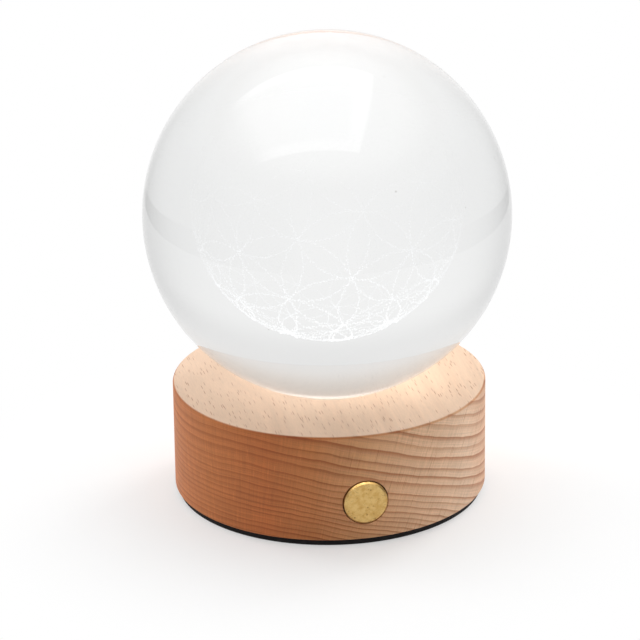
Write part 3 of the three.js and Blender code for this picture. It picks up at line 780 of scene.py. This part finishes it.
@dataclass(frozen=True)
class MetalFinish:
    """Plain metal with fine drawn lines."""

    name: str
    colour: Colour
    roughness: float = 0.3
    lines: Grain = Grain((0.08, 0.8, 0.08))
    line_roughness: float = 0.2
    stains: Grain = Grain(even(2.5), 3.0, 2.0)
    stain_colour: Colour = tone(96, 94, 92)
    stain_strength: float = 0.25
    stain_roughness: float = 0.1
    polish: float = 0.12
    relief: float = 0.006

    def material(self) -> bpy.types.Material:
        """Makes the metal.

        Returns:
            The material.
        """
        recipe = Recipe(self.name)
        lines, stains = recipe.noise(self.lines), recipe.noise(self.stains)
        rough = lines * self.line_roughness + stains * self.stain_roughness
        shade = stains * self.stain_strength
        return recipe.done(recipe.principled({
            "Base Color": recipe.blend(shade, self.colour, self.stain_colour),
            "Metallic": 1.0,
            "Roughness": rough + (self.roughness - self.polish),
            "Normal": recipe.bump(lines, self.relief),
        }))


@dataclass(frozen=True)
class BoardFinish:
    """Circuit board: solder mask over copper tracks, with bright pads."""

    name: str
    mask: Colour
    track: Colour
    pad: Colour = tone(214, 206, 178)
    lane_slope: float = 0.5
    lane_pitch: float = 0.9
    lane_edge: Range = (0.3, 0.24)
    patches: Grain = Grain(even(5.0), 0.0)
    patch_range: Range = (0.46, 0.5)
    pads: Specks = Specks(even(2.4), 0.16)
    pad_metal: float = 0.9
    pad_polish: float = 0.1
    roughness: float = 0.4
    relief: float = 0.03

    def material(self) -> bpy.types.Material:
        """Makes the board.

        Returns:
            The material.
        """
        recipe = Recipe(self.name)
        x, y, _ = recipe.parts(recipe.cells())
        lanes = x.maths("PINGPONG", x + y * self.lane_slope, self.lane_pitch)
        tracks = lanes.ease(*self.lane_edge) * recipe.noise(self.patches).ease(*self.patch_range)
        pads = recipe.spots(self.pads)
        masked = recipe.blend(tracks, self.mask, self.track)
        return recipe.done(recipe.principled({
            "Base Color": recipe.blend(pads, masked, self.pad),
            "Metallic": pads * self.pad_metal,
            "Roughness": self.roughness - pads * self.pad_polish,
            "Normal": recipe.bump(tracks + pads, self.relief),
        }))


@dataclass(frozen=True)
class FoilFinish:
    """The cell's crinkled aluminium pouch."""

    name: str = "battery_foil"
    colour: Colour = tone(198, 200, 202)
    crease_colour: Colour = tone(120, 122, 126)
    creases: Grain = Grain(even(4.0), 5.0)
    crease_strength: float = 0.3
    crease_roughness: float = 0.2
    roughness: float = 0.25
    metal: float = 0.85
    relief: float = 0.25

    def material(self) -> bpy.types.Material:
        """Makes the foil.

        Returns:
            The material.
        """
        recipe = Recipe(self.name)
        creases = recipe.noise(self.creases)
        shade = creases * self.crease_strength
        return recipe.done(recipe.principled({
            "Base Color": recipe.blend(shade, self.colour, self.crease_colour),
            "Metallic": self.metal,
            "Roughness": creases * self.crease_roughness + self.roughness,
            "Normal": recipe.bump(creases, self.relief),
        }))


def spun(outline: Profile, steps: int, closed: bool = True) -> bmesh.types.BMesh:
    """Turns an outline about Z into a shell, in millimetres.

    Args:
        outline: Its (radius, height) points in order.
        steps: How many faces it has round.
        closed: Whether the last point joins the first.

    Returns:
        The shell, with doubles merged and normals outwards.
    """
    mesh = bmesh.new()
    corners = [mesh.verts.new((radius, 0.0, height)) for radius, height in outline]
    ends = corners[1:] + corners[:1] if closed else corners[1:]
    edges = [mesh.edges.new(pair) for pair in zip(corners, ends)]
    bmesh.ops.spin(
        mesh, geom=corners + edges, cent=(0, 0, 0), axis=(0, 0, 1), angle=FULL_TURN, steps=steps,
        use_merge=True,
    )
    bmesh.ops.remove_doubles(mesh, verts=mesh.verts, dist=JOINED)
    bmesh.ops.dissolve_degenerate(mesh, edges=mesh.edges, dist=JOINED)
    bmesh.ops.recalc_face_normals(mesh, faces=mesh.faces)
    return mesh


def rims(mesh: bmesh.types.BMesh, radius: float, height: float) -> list[bmesh.types.BMEdge]:
    """Finds the edges of a round rim.

    Args:
        mesh: The shell.
        radius: The rim's radius.
        height: The rim's height.

    Returns:
        The edges.
    """
    found = []
    for edge in mesh.edges:
        ends = [(math.hypot(end.co.x, end.co.y) - radius, end.co.z - height) for end in edge.verts]
        if all(abs(miss) < RIM_TOLERANCE for end in ends for miss in end):
            found.append(edge)
    return found


def round_rims(mesh: bmesh.types.BMesh, rounds: list[Triple], segments: int = 4) -> None:
    """Rounds some rims.

    Args:
        mesh: The shell.
        rounds: Each rim's radius, height and rounding.
        segments: How many faces a rounding has.
    """
    for radius, height, rounding in rounds:
        bmesh.ops.bevel(
            mesh, geom=rims(mesh, radius, height), offset=rounding, segments=segments,
            profile=0.5, affect="EDGES", material=-1,
        )


def linked(name: str, data: bpy.types.ID) -> bpy.types.Object:
    """Puts a mesh, lamp or camera into the scene.

    Args:
        name: The object's name.
        data: What it holds.

    Returns:
        The object, at the origin.
    """
    made = bpy.data.objects.new(name, data)
    bpy.context.scene.collection.objects.link(made)
    return made


def finished(mesh: bmesh.types.BMesh, name: str, finish: Finish,
             sharp: float = SHARP) -> bpy.types.Object:
    """Makes an object of a mesh in millimetres.

    Args:
        mesh: The shell, which is freed.
        name: The object's name.
        finish: Its finish.
        sharp: Edges that turn more than this stay sharp.

    Returns:
        The object at the origin, smooth apart from its sharp edges.
    """
    bmesh.ops.scale(mesh, vec=even(MILLIMETRE), verts=mesh.verts)
    mesh.normal_update()
    for face in mesh.faces:
        face.smooth = abs(face.normal.z) < LEVEL
    for edge in mesh.edges:
        edge.smooth = len(edge.link_faces) == 2 and edge.calc_face_angle(0.0) < sharp
    data = bpy.data.meshes.new(name)
    mesh.to_mesh(data)
    mesh.free()
    data.materials.append(finish.material())
    return linked(name, data)


def placed(piece: bpy.types.Object, body: Body, node: str) -> None:
    """Rides a piece on a body, in place of a node.

    Args:
        piece: The finished piece.
        body: The body that carries it.
        node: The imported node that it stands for.
    """
    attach(piece, body.value)
    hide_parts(node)
    log.info("piece %s on %s", piece.name, body.value)


def moved(mesh: bmesh.types.BMesh, turn: Matrix) -> bmesh.types.BMesh:
    """Moves a shell and returns it."""
    bmesh.ops.transform(mesh, matrix=turn, verts=mesh.verts)
    return mesh


@dataclass
class CrystalBall:
    """The solid glass ball with its engraved sphere."""

    radius: float = 50.0
    centre: float = 79.0
    subdivisions: int = 6
    engraved_radius: float = 24.45
    engraved_rise: float = 2.0
    petal_share: float = 0.15
    net_turn: Triple = (17.68, -32.7, 5.02)
    net_cuts: int = 2
    dot_gap: float = 0.22
    dot_radius: float = 0.105
    dot_spread: Range = (0.7, 1.25)
    dot_segments: tuple[int, int] = (4, 2)
    top_dot_share: float = 0.3
    dots_shrink_over: float = 1.4
    dot_wander: float = 0.14
    seed: int = 7

    def build(self) -> None:
        """Makes the ball and the engraving."""
        ball = bmesh.new()
        bmesh.ops.create_icosphere(ball, subdivisions=self.subdivisions, radius=self.radius)
        bmesh.ops.translate(ball, vec=(0, 0, self.centre), verts=ball.verts)
        glass = finished(ball, "glass_ball", GlassFinish(), math.pi)
        for piece in (glass, self._engraving()):
            placed(piece, Body.BALL, "crystal_ball")

    def _petal_points(self) -> list[Vector]:
        """Finds points along the arcs of overlapping circles.

        Returns:
            The points on the unit sphere.
        """
        net = bmesh.new()
        bmesh.ops.create_icosphere(net, subdivisions=1, radius=1.0)
        bmesh.ops.subdivide_edges(net, edges=net.edges, cuts=self.net_cuts, use_grid_fill=True)
        angles = [math.radians(angle) for angle in self.net_turn]
        moved(net, Euler(angles).to_matrix().to_4x4())
        points = []
        for edge in net.edges:
            start, end = (vertex.co.normalized() for vertex in edge.verts)
            span = start.angle(end)
            aside = start.cross(end).normalized()
            count = round(span * self.engraved_radius / self.dot_gap)
            for side in (-1, 1):
                for step in range(count):
                    share = step / count
                    along = start.slerp(end, share)
                    swell = 4 * self.petal_share * span * share * (1 - share)
                    points.append((along + aside * (side * swell)).normalized())
        net.free()
        return points

    def _engraving(self) -> bpy.types.Object:
        """Makes tiny dots along the petals, a copy of one dot at each point.

        Returns:
            All the dots as one piece.
        """
        dot = bmesh.new()
        around, up = self.dot_segments
        bmesh.ops.create_uvsphere(dot, u_segments=around, v_segments=up, radius=1.0)
        corners = [vertex.co.copy() for vertex in dot.verts]
        faces = [[vertex.index for vertex in face.verts] for face in dot.faces]
        dot.free()
        draw = random.Random(self.seed)
        middle = Vector((0, 0, self.centre + self.engraved_rise))
        vertices, all_faces = [], []
        for point in self._petal_points():
            wander = Vector([draw.uniform(-1, 1) for _ in range(3)]) * self.dot_wander
            risen = min(1.0, (point.z + 1) / self.dots_shrink_over)
            shrink = 1 - (1 - self.top_dot_share) * risen
            size = self.dot_radius * shrink * draw.uniform(*self.dot_spread)
            spot = middle + point * self.engraved_radius + wander
            first = len(vertices)
            vertices.extend((spot + corner * size) * MILLIMETRE for corner in corners)
            all_faces.extend([index + first for index in face] for face in faces)
        data = bpy.data.meshes.new("engraved_circles")
        data.from_pydata(vertices, [], all_faces)
        data.materials.append(EngravingFinish().material())
        return linked("engraved_circles", data)


def carved(shell: bmesh.types.BMesh, cutters: list[bmesh.types.BMesh]) -> bmesh.types.BMesh:
    """Cuts a shell with others.

    Args:
        shell: What is cut; it is freed.
        cutters: What cuts it; they are freed.

    Returns:
        The cut shell.
    """
    made = []
    for mesh in (shell, *cutters):
        data = bpy.data.meshes.new("blank")
        mesh.to_mesh(data)
        mesh.free()
        made.append(linked("blank", data))
    body = made[0]
    for cutter in made[1:]:
        cut = body.modifiers.new("cut", "BOOLEAN")
        cut.object = cutter
        cut.operation = "DIFFERENCE"
        cut.solver = "EXACT"
    result = bmesh.new()
    result.from_mesh(body.evaluated_get(bpy.context.evaluated_depsgraph_get()).data)
    for blank in made:
        data = blank.data
        bpy.data.objects.remove(blank)
        bpy.data.meshes.remove(data)
    return result


def rod(radius: float, start: float, end: float, steps: int) -> bmesh.types.BMesh:
    """Makes a round rod along Z.

    Args:
        radius: Its radius.
        start: The height of its lower end.
        end: The height of its upper end.
        steps: How many faces it has round.

    Returns:
        The rod.
    """
    mesh = bmesh.new()
    bmesh.ops.create_cone(
        mesh, cap_ends=True, segments=steps, radius1=radius, radius2=radius, depth=end - start,
    )
    bmesh.ops.translate(mesh, vec=(0, 0, (start + end) / 2), verts=mesh.verts)
    return mesh


def slab(low: Triple, high: Triple, corner: float = 0.0, segments: int = 6) -> bmesh.types.BMesh:
    """Makes a block between two corners, its upright edges rounded.

    Args:
        low: Its lowest corner.
        high: Its highest corner.
        corner: The rounding of its edges along Z.
        segments: How many faces a rounding has.

    Returns:
        The block.
    """
    mesh = bmesh.new()
    bmesh.ops.create_cube(mesh, size=1.0)
    size = [b - a for a, b in zip(low, high)]
    bmesh.ops.scale(mesh, vec=size, verts=mesh.verts)
    middle = [(a + b) / 2 for a, b in zip(low, high)]
    if corner:
        upright = [e for e in mesh.edges if abs(e.verts[0].co.z - e.verts[1].co.z) > size[2] / 2]
        bmesh.ops.bevel(
            mesh, geom=upright, offset=corner, segments=segments, profile=0.5, affect="EDGES",
            material=-1,
        )
    bmesh.ops.translate(mesh, vec=middle, verts=mesh.verts)
    return mesh


# Where local +Z runs into the wood: from the front at the button, from the back at the port
BUTTON_PLACE = Matrix.Translation((0.0, -43.0, 12.5)) @ Matrix.Rotation(-QUARTER_TURN, 4, "X")
PORT_PLACE = Matrix.Translation((0.0, 43.0, 10.6)) @ Matrix.Rotation(QUARTER_TURN, 4, "X")


@dataclass(frozen=True)
class ScrewHoles:
    """Upright blind holes on a circle."""

    radius: float
    bottom: float
    top: float
    circle: float
    turns: tuple[int, ...]
    steps: int = 24

    def cutters(self) -> list[bmesh.types.BMesh]:
        """Makes the rods that cut the holes.

        Returns:
            A rod for each hole.
        """
        rods = []
        for turn in self.turns:
            hole = rod(self.radius, self.bottom, self.top, self.steps)
            bmesh.ops.translate(hole, vec=(self.circle, 0, 0), verts=hole.verts)
            rods.append(moved(hole, Matrix.Rotation(math.radians(turn), 4, "Z")))
        return rods


@dataclass
class WoodBase:
    """The turned beech base with its seat, well, pocket, button bore and port recess."""

    radius: float = 43.0
    bottom: float = 1.8
    top: float = 31.8
    top_rounding: float = 0.6
    bottom_rounding: float = 0.5
    steps: int = 160
    seat_radius: float = 17.39
    seat_foot: float = 31.11
    seat_rounding: float = 0.25
    well_radius: float = 15.39
    pocket_radius: float = 17.39
    pocket_top: float = 24.4
    cavity_radius: float = 34.0
    cavity_top: float = 17.3
    plate_radius: float = 39.0
    plate_top: float = 3.8
    overrun: float = 1.0
    bore_radius: float = 6.3
    bore_depth: float = 6.2
    bore_steps: int = 96
    throat_radius: float = 3.2
    throat_end: float = 10.0
    throat_steps: int = 64
    recess: Triple = (12.6, 7.6, 6.4)
    recess_corner: float = 1.5
    notch_low: Triple = (-5.3, 33.0, 0.8)
    notch_high: Triple = (5.3, 36.6, 13.4)
    holes: tuple[ScrewHoles, ...] = (
        ScrewHoles(1.1, 16.3, 22.2, 19.99, (90, 210, 330)),
        ScrewHoles(1.3, 2.8, 11.3, 36.5, (45, 135, 225, 315)),
    )

    def build(self) -> None:
        """Makes the wood in place of its node."""
        shell = spun(self._outline(), self.steps)
        round_rims(shell, [
            (self.radius, self.top, self.top_rounding),
            (self.radius, self.bottom, self.bottom_rounding),
            (self.seat_radius, self.top, self.seat_rounding),
        ])
        wood = finished(carved(shell, self._cutters()), "beech_base", BeechFinish())
        placed(wood, Body.BASE, "wood_base")

    def _outline(self) -> Profile:
        """The wood's section.

        Returns:
            Its (radius, height) points.
        """
        return [
            (self.plate_radius, self.bottom),
            (self.radius, self.bottom),
            (self.radius, self.top),
            (self.seat_radius, self.top),
            (self.well_radius, self.seat_foot),
            (self.well_radius, self.pocket_top),
            (self.pocket_radius, self.pocket_top),
            (self.pocket_radius, self.cavity_top),
            (self.cavity_radius, self.cavity_top),
            (self.cavity_radius, self.plate_top),
            (self.plate_radius, self.plate_top),
        ]

    def _cutters(self) -> list[bmesh.types.BMesh]:
        """What cuts the button's bore and throat, the port's recess and notch, and the holes.

        Returns:
            The cutters.
        """
        width, height, depth = self.recess
        low, high = (-width / 2, -height / 2, -self.overrun), (width / 2, height / 2, depth)
        throat_start = self.bore_depth - self.overrun
        bore = rod(self.bore_radius, -self.overrun, self.bore_depth, self.bore_steps)
        throat = rod(self.throat_radius, throat_start, self.throat_end, self.throat_steps)
        cutters = [
            moved(bore, BUTTON_PLACE),
            moved(throat, BUTTON_PLACE),
            moved(slab(low, high, self.recess_corner), PORT_PLACE),
            slab(self.notch_low, self.notch_high),
        ]
        for holes in self.holes:
            cutters += holes.cutters()
        return cutters


@dataclass
class ButtonCap:
    """The brass cap with its chamfer, skirt and grooved stem, its depths counted inwards."""

    radius: float = 6.0
    face: float = -0.6
    chamfer: float = 0.5
    chamfer_softening: float = 0.07
    softening_segments: int = 3
    skirt_end: float = 3.4
    hollow_radius: float = 5.0
    hollow_start: float = 0.9
    stem_radius: float = 2.0
    groove_radius: float = 1.5
    groove: Range = (10.0, 10.8)
    stem_end: float = 11.6
    steps: int = 96

    def build(self) -> None:
        """Makes the cap in place of its node."""
        flat, edge = self.radius - self.chamfer, self.face + self.chamfer
        near, far = self.groove
        cap = spun([
            (0.0, self.face), (flat, self.face), (self.radius, edge),
            (self.radius, self.skirt_end), (self.hollow_radius, self.skirt_end),
            (self.hollow_radius, self.hollow_start), (self.stem_radius, self.hollow_start),
            (self.stem_radius, near), (self.groove_radius, near), (self.groove_radius, far),
            (self.stem_radius, far), (self.stem_radius, self.stem_end), (0.0, self.stem_end),
        ], self.steps, closed=False)
        soft = self.chamfer_softening
        rounds = [(flat, self.face, soft), (self.radius, edge, soft),
                  (self.radius, self.skirt_end, soft)]
        round_rims(cap, rounds, self.softening_segments)
        brass = finished(moved(cap, BUTTON_PLACE), "brass_cap", BrassFinish())
        placed(brass, Body.BUTTON, "button_cap")


@dataclass
class ReturnSpring:
    """The coil that pushes the cap back, its end turns wound close."""

    coil_radius: float = 3.6
    wire_radius: float = 0.2
    start: float = 1.4
    length: float = 3.5
    turns: float = 3.5
    end_turns: float = 0.75
    end_pitch: float = 0.43
    steps_a_turn: int = 36
    wire_sides: int = 10
    sharp: float = math.radians(60)
    fixed_end: float = -0.0376
    pressed_share: float = 0.867
    finish: MetalFinish = MetalFinish("coiled_steel", tone(160, 164, 170), 0.35)

    def build(self) -> None:
        """Makes the spring in place of its node."""
        coil = bmesh.new()
        wire = bmesh.ops.create_circle(coil, radius=self.wire_radius, segments=self.wire_sides)
        bmesh.ops.rotate(coil, verts=wire["verts"], matrix=Matrix.Rotation(QUARTER_TURN, 3, "X"))
        bmesh.ops.translate(coil, verts=wire["verts"], vec=(self.coil_radius, 0, self.start))
        section = list(coil.verts) + list(coil.edges)
        ends = (self.end_turns, self.end_turns * self.end_pitch)
        middle = (self.turns - 2 * self.end_turns, self.length - 2 * ends[1])
        for turns, rise in (ends, middle, ends):
            section = self._wound(coil, section, turns, rise)
        bmesh.ops.remove_doubles(coil, verts=coil.verts, dist=JOINED)
        bmesh.ops.holes_fill(coil, edges=coil.edges, sides=self.wire_sides)
        bmesh.ops.recalc_face_normals(coil, faces=coil.faces)
        spring = finished(moved(coil, BUTTON_PLACE), "coil_spring", self.finish, self.sharp)
        placed(spring, Body.BASE, "return_spring")
        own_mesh(spring)

    def _wound(self, coil: bmesh.types.BMesh, section: list, turns: float, rise: float) -> list:
        """Winds the wire's end on.

        Args:
            coil: The spring so far.
            section: The wire's open end.
            turns: How many turns to add.
            rise: How far they climb.

        Returns:
            The new open end.
        """
        steps = round(turns * self.steps_a_turn)
        added = bmesh.ops.spin(
            coil, geom=section, cent=(0, 0, 0), axis=(0, 0, 1), angle=turns * FULL_TURN,
            steps=steps, dvec=(0, 0, rise / steps),
        )
        return [part for part in added["geom_last"] if not isinstance(part, bmesh.types.BMFace)]


@dataclass
class FootPad:
    """The foam pad under the wood."""

    radius: float = 42.0
    thickness: float = 1.8
    ring_shares: tuple[float, ...] = (0.0, 0.25, 0.5, 0.75, 1.0)
    rounding: float = 0.35
    steps: int = 128

    def build(self) -> None:
        """Makes the pad in place of its node."""
        outline = [(share * self.radius, 0.0) for share in self.ring_shares]
        outline += [(share * self.radius, self.thickness) for share in reversed(self.ring_shares)]
        pad = spun(outline, self.steps, closed=False)
        round_rims(pad, [(self.radius, height, self.rounding) for height in (0.0, self.thickness)])
        placed(finished(pad, "foam_pad", FoamFinish()), Body.BASE, "foot_pad")


@dataclass
class Dresser:
    """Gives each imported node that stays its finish, by its slot in the record."""

    finishes: dict[Slot, Finish] = field(default_factory=lambda: {
        Slot.FOAM_BLACK: FoamFinish(),
        Slot.OPAL_PLASTIC: PlasticFinish(
            "opal_diffuser", tone(192, 183, 166), 0.45, glow=0.15, glow_colour=tone(255, 236, 205),
        ),
        Slot.WHITE_PLASTIC: PlasticFinish("white_plastic", tone(236, 236, 232)),
        Slot.BOARD_WHITE: BoardFinish("white_board", tone(232, 232, 226), tone(214, 214, 206)),
        Slot.LAMP_WARM: PlasticFinish(
            "lamp_phosphor", tone(246, 214, 112), 0.4, glow=1.4, glow_colour=tone(255, 226, 170),
        ),
        Slot.STEEL: MetalFinish("bright_steel", tone(190, 192, 196)),
        Slot.SPRING_STEEL: MetalFinish("spring_steel", tone(160, 164, 170), 0.35),
        Slot.BRASS: BrassFinish(),
        Slot.NYLON_BLACK: PlasticFinish("black_nylon", tone(36, 36, 38)),
        Slot.PLASTIC_BLACK: PlasticFinish("black_plastic", tone(30, 30, 32), relief=0.02),
        Slot.CHIP_BLACK: PlasticFinish("chip_epoxy", tone(34, 35, 38), 0.6),
        Slot.FERRITE: PlasticFinish("ferrite", tone(60, 61, 64), 0.7, grain=0.4, relief=0.03),
        Slot.CERAMIC_TAN: PlasticFinish("tan_ceramic", tone(178, 140, 96), 0.45),
        Slot.BOARD_GREEN: BoardFinish("green_board", tone(28, 88, 52), tone(48, 120, 72)),
        Slot.BATTERY_FOIL: FoilFinish(),
        Slot.WIRE_RED: PlasticFinish("red_insulation", tone(180, 34, 28), 0.45),
        Slot.WIRE_BLACK: PlasticFinish("black_insulation", tone(26, 26, 26), 0.45),
    })

    def build(self) -> None:
        """Dresses the nodes."""
        parts = frame["record"]["subparts"]
        slot_of = {part["node"]: Slot(part["material_slot"]) for part in parts}
        made = {}
        for name, piece in frame["nodes"].items():
            slot = slot_of.get(name)
            if slot not in self.finishes:
                continue
            if slot not in made:
                made[slot] = self.finishes[slot].material()
            for place in piece.material_slots:
                place.material = made[slot]
            log.info("finish %s on %s", slot.value, name)


def hung(data: bpy.types.Light, place: Triple) -> bpy.types.Object:
    """Hangs a light, itself unseen.

    Args:
        data: The light.
        place: Where it hangs.

    Returns:
        Its object, unturned.
    """
    light = linked(data.name, data)
    light.location = place
    light.visible_camera = light.visible_transmission = light.visible_glossy = False
    return light


@dataclass(frozen=True)
class SoftLamp:
    """One soft square light, aimed at the wooden base."""

    name: str
    place: Triple
    power: float
    width: float = 0.4
    aim: Triple = (0.0, 0.0, 0.03)

    def build(self) -> None:
        """Hangs the light."""
        data = bpy.data.lights.new(self.name, "AREA")
        data.shape = "RECTANGLE"
        data.size = data.size_y = self.width
        data.energy = self.power
        towards = Vector(self.aim) - Vector(self.place)
        hung(data, self.place).rotation_euler = towards.to_track_quat("-Z", "Y").to_euler()


@dataclass(frozen=True)
class FootGlow:
    """The warm light that leaves the ball's foot."""

    place: Triple = (0.019, -0.002, 0.042)
    power: float = 0.026
    colour: Triple = (1.0, 0.92, 0.74)
    radius: float = 0.008

    def build(self) -> None:
        """Hangs the light beside the ball's foot."""
        data = bpy.data.lights.new("foot_glow", "POINT")
        data.energy = self.power
        data.color = self.colour
        data.shadow_soft_size = self.radius
        hung(data, self.place)


@dataclass(frozen=True)
class Surroundings:
    """What the lamp mirrors and bends: white behind it, greyer to the sides, a softbox above.

    Each range runs along a direction's share upwards, away from the camera or to the right.
    """

    heading: float
    behind_level: float = 0.98
    edge_drop: float = 0.4
    edge_across: Range = (0.2, 0.5)
    edge_up: Range = (0.6, 0.1)
    side_drop: float = 0.43
    slope_drop: float = 0.17
    slope_up: Range = (-0.2, 0.35)
    right_drop: float = 0.025
    raised_drop: float = 0.09
    raised_up: Range = (0.08, 0.3)
    raised_end: Range = (0.95, 0.75)
    high_drop: float = 0.25
    high_up: Range = (0.42, 0.78)
    high_end: Range = (0.97, 0.85)
    high_tint: Triple = (0.0, 0.035, 0.07)
    tint_up: Range = (0.36, 0.6)
    back_light: float = 1.3
    front_light: float = 0.1
    light_away: Range = (-0.9, 0.4)
    softbox_away: Range = (-0.62, 0.68)
    softbox_right: Range = (-0.6, 0.42)
    softbox_up: Range = (0.0, 0.1)
    softbox_rim: float = 0.13
    softbox_fade: float = 0.05
    left_fade: float = 0.5
    rim_level: float = 1.3
    inner_level: float = 0.7
    overhead_level: float = 1.4
    overhead_up: Range = (0.5, 0.85)
    focus_level: float = 2.8
    focus_up: Range = (0.8, 0.96)

    def world(self) -> bpy.types.World:
        """Makes the surroundings; the camera itself sees plain white.

        Returns:
            The world.
        """
        recipe = Recipe("surroundings", surroundings=True)
        x, y, z = recipe.parts(recipe.node("ShaderNodeTexCoord", {}, {}, "Generated"))
        sine, cosine = math.sin(self.heading), math.cos(self.heading)
        away = x * sine + y * cosine
        right = x * cosine - y * sine
        high_end = z.ease(*self.high_end)
        raised = z.ease(*self.raised_up) * z.ease(*self.raised_end) * self.raised_drop
        raised = raised + z.ease(*self.high_up) * high_end * self.high_drop
        back = self.side_level(right, z.ease(*self.slope_up) * self.slope_drop + self.side_drop)
        box = self._softbox(away / z, right / z) * z.ease(*self.softbox_up)
        overhead = box + z.ease(*self.overhead_up) * self.overhead_level
        aside = right.maths("ABSOLUTE", right).ease(*self.edge_across)
        edge = aside * z.ease(*self.edge_up) * self.edge_drop
        through = z.ease(*self.focus_up) * self.focus_level * recipe.path(Ray.TRANSMISSION)
        mirrored = back - raised + (overhead - edge) * recipe.path(Ray.REFLECTION) + through
        behind = away.ease(*self.light_away)
        lit = behind * (self.back_light - self.front_light) + self.front_light
        bent = recipe.path(Ray.GLOSSY, Ray.TRANSMISSION)
        level = (mirrored - lit) * bent + lit
        browned = z.ease(*self.tint_up) * high_end * bent
        tinted = recipe.vector(*(level - browned * tint for tint in self.high_tint))
        colour = recipe.blend(recipe.path(Ray.CAMERA), tinted, WHITE)
        light = recipe.node("ShaderNodeBackground", {}, {"Color": colour, "Strength": 1.0})
        return recipe.done(light)

    def side_level(self, right: Term, drop: Term | float) -> Term:
        """How bright it is behind the lamp, from -1 on the left to 1 on the right."""
        squared = right * right
        return self.behind_level - squared * squared * squared * drop - right * self.right_drop

    def _softbox(self, away: Term, right: Term) -> Term:
        """How bright the overhead softbox is, its rim over its middle.

        Args:
            away: Distance away from the camera on a plane one unit up.
            right: Distance to the right on that plane.

        Returns:
            The light it adds.
        """
        near, far = self.softbox_away
        left, edge = self.softbox_right
        fade, rim = self.softbox_fade, self.softbox_rim
        whole = away.ease(near, near + fade) * away.ease(far, far - fade)
        whole = whole * right.ease(left - self.left_fade, left) * right.ease(edge, edge - fade)
        inset = rim + 2 * fade
        inner = away.ease(near + rim, near + inset) * away.ease(far - rim, far - inset)
        inner = inner * right.ease(edge - rim, edge - inset)
        return whole * (self.rim_level - inner * (self.rim_level - self.inner_level))


@dataclass(frozen=True)
class PaperFinish:
    """White paper, plain white away from the lamp, and greyer to the sides in the glass."""

    around: Surroundings
    name: str = "floor_paper"
    colour: Colour = (0.93, 0.93, 0.93, 1.0)
    roughness: float = 0.9
    fade: Range = (44.0, 110.0)
    near_white: float = 0.45
    foot: float = 20.0

    def material(self) -> bpy.types.Material:
        """Makes the paper, which keeps the lamp's shadow.

        Returns:
            The material.
        """
        recipe = Recipe(self.name)
        x, y, _ = recipe.parts(recipe.cells())
        distance = x.maths("SQRT", x * x + y * y)
        far = distance.ease(*self.fade) * (1 - self.near_white) + self.near_white
        right = x * math.cos(self.around.heading) - y * math.sin(self.around.heading)
        level = self.around.side_level(right / (distance + self.foot), self.around.side_drop)
        grey = recipe.vector(level, level, level)
        colour = recipe.blend(recipe.path(Ray.CAMERA), grey, WHITE)
        paper = recipe.principled({"Base Color": self.colour, "Roughness": self.roughness})
        white = recipe.node("ShaderNodeEmission", {}, {"Color": colour, "Strength": 1.0})
        shown = recipe.path(Ray.CAMERA, Ray.GLOSSY, Ray.TRANSMISSION)
        return recipe.done(recipe.mixed(shown * far, paper, white))


@dataclass
class Studio:
    """Camera, floor, surroundings and lamps."""

    camera_place: Triple = (-0.2018, -0.8955, 0.4075)
    pitch: float = 0.3729
    heading: float = math.radians(12.557)
    roll: float = -0.0127
    lens: float = 202.7
    sensor_width: float = 36.0
    clip_start: float = 0.01
    floor_reach: float = 300.0
    floor_steps: int = 128
    lamps: tuple[SoftLamp | FootGlow, ...] = (
        SoftLamp("left_softbox", (-0.75, 0.75, 0.36), 4.0),
        SoftLamp("right_softbox", (0.85, 0.65, 0.36), 7.2),
        SoftLamp("right_fill", (0.75, -0.55, 0.15), 0.9),
        FootGlow(),
    )

    def build(self) -> None:
        """Makes the studio."""
        around = Surroundings(self.heading)
        self._camera()
        self._floor(around)
        bpy.context.scene.world = around.world()
        for lamp in self.lamps:
            lamp.build()
        bpy.context.scene.view_settings.view_transform = "Standard"

    def _camera(self) -> None:
        """Stands the camera where the photograph was taken."""
        data = bpy.data.cameras.new("camera")
        data.lens = self.lens
        data.sensor_width = self.sensor_width
        data.clip_start = self.clip_start
        camera = linked("camera", data)
        turn = (
            Matrix.Rotation(-self.heading, 4, "Z")
            @ Matrix.Rotation(QUARTER_TURN - self.pitch, 4, "X")
            @ Matrix.Rotation(self.roll, 4, "Z")
        )
        camera.matrix_world = Matrix.Translation(self.camera_place) @ turn
        bpy.context.scene.camera = camera

    def _floor(self, around: Surroundings) -> None:
        """Lays a pale floor round the pad that fades to white.

        Args:
            around: The surroundings, whose grey the floor takes up.
        """
        pad = FootPad()
        outline = [(pad.radius - pad.rounding, 0.0), (self.floor_reach, 0.0)]
        ring = spun(outline, self.floor_steps, closed=False)
        floor = finished(ring, "floor", PaperFinish(around))


def main() -> None:
    """Builds the lamp's looks and the studio."""
    logging.basicConfig(level=logging.INFO)
    makers = (CrystalBall, WoodBase, ButtonCap, ReturnSpring, FootPad, Dresser, Studio)
    for maker in makers:
        maker().build()
        log.info("built %s", maker.__name__)


if __name__ == "__main__":
    main()
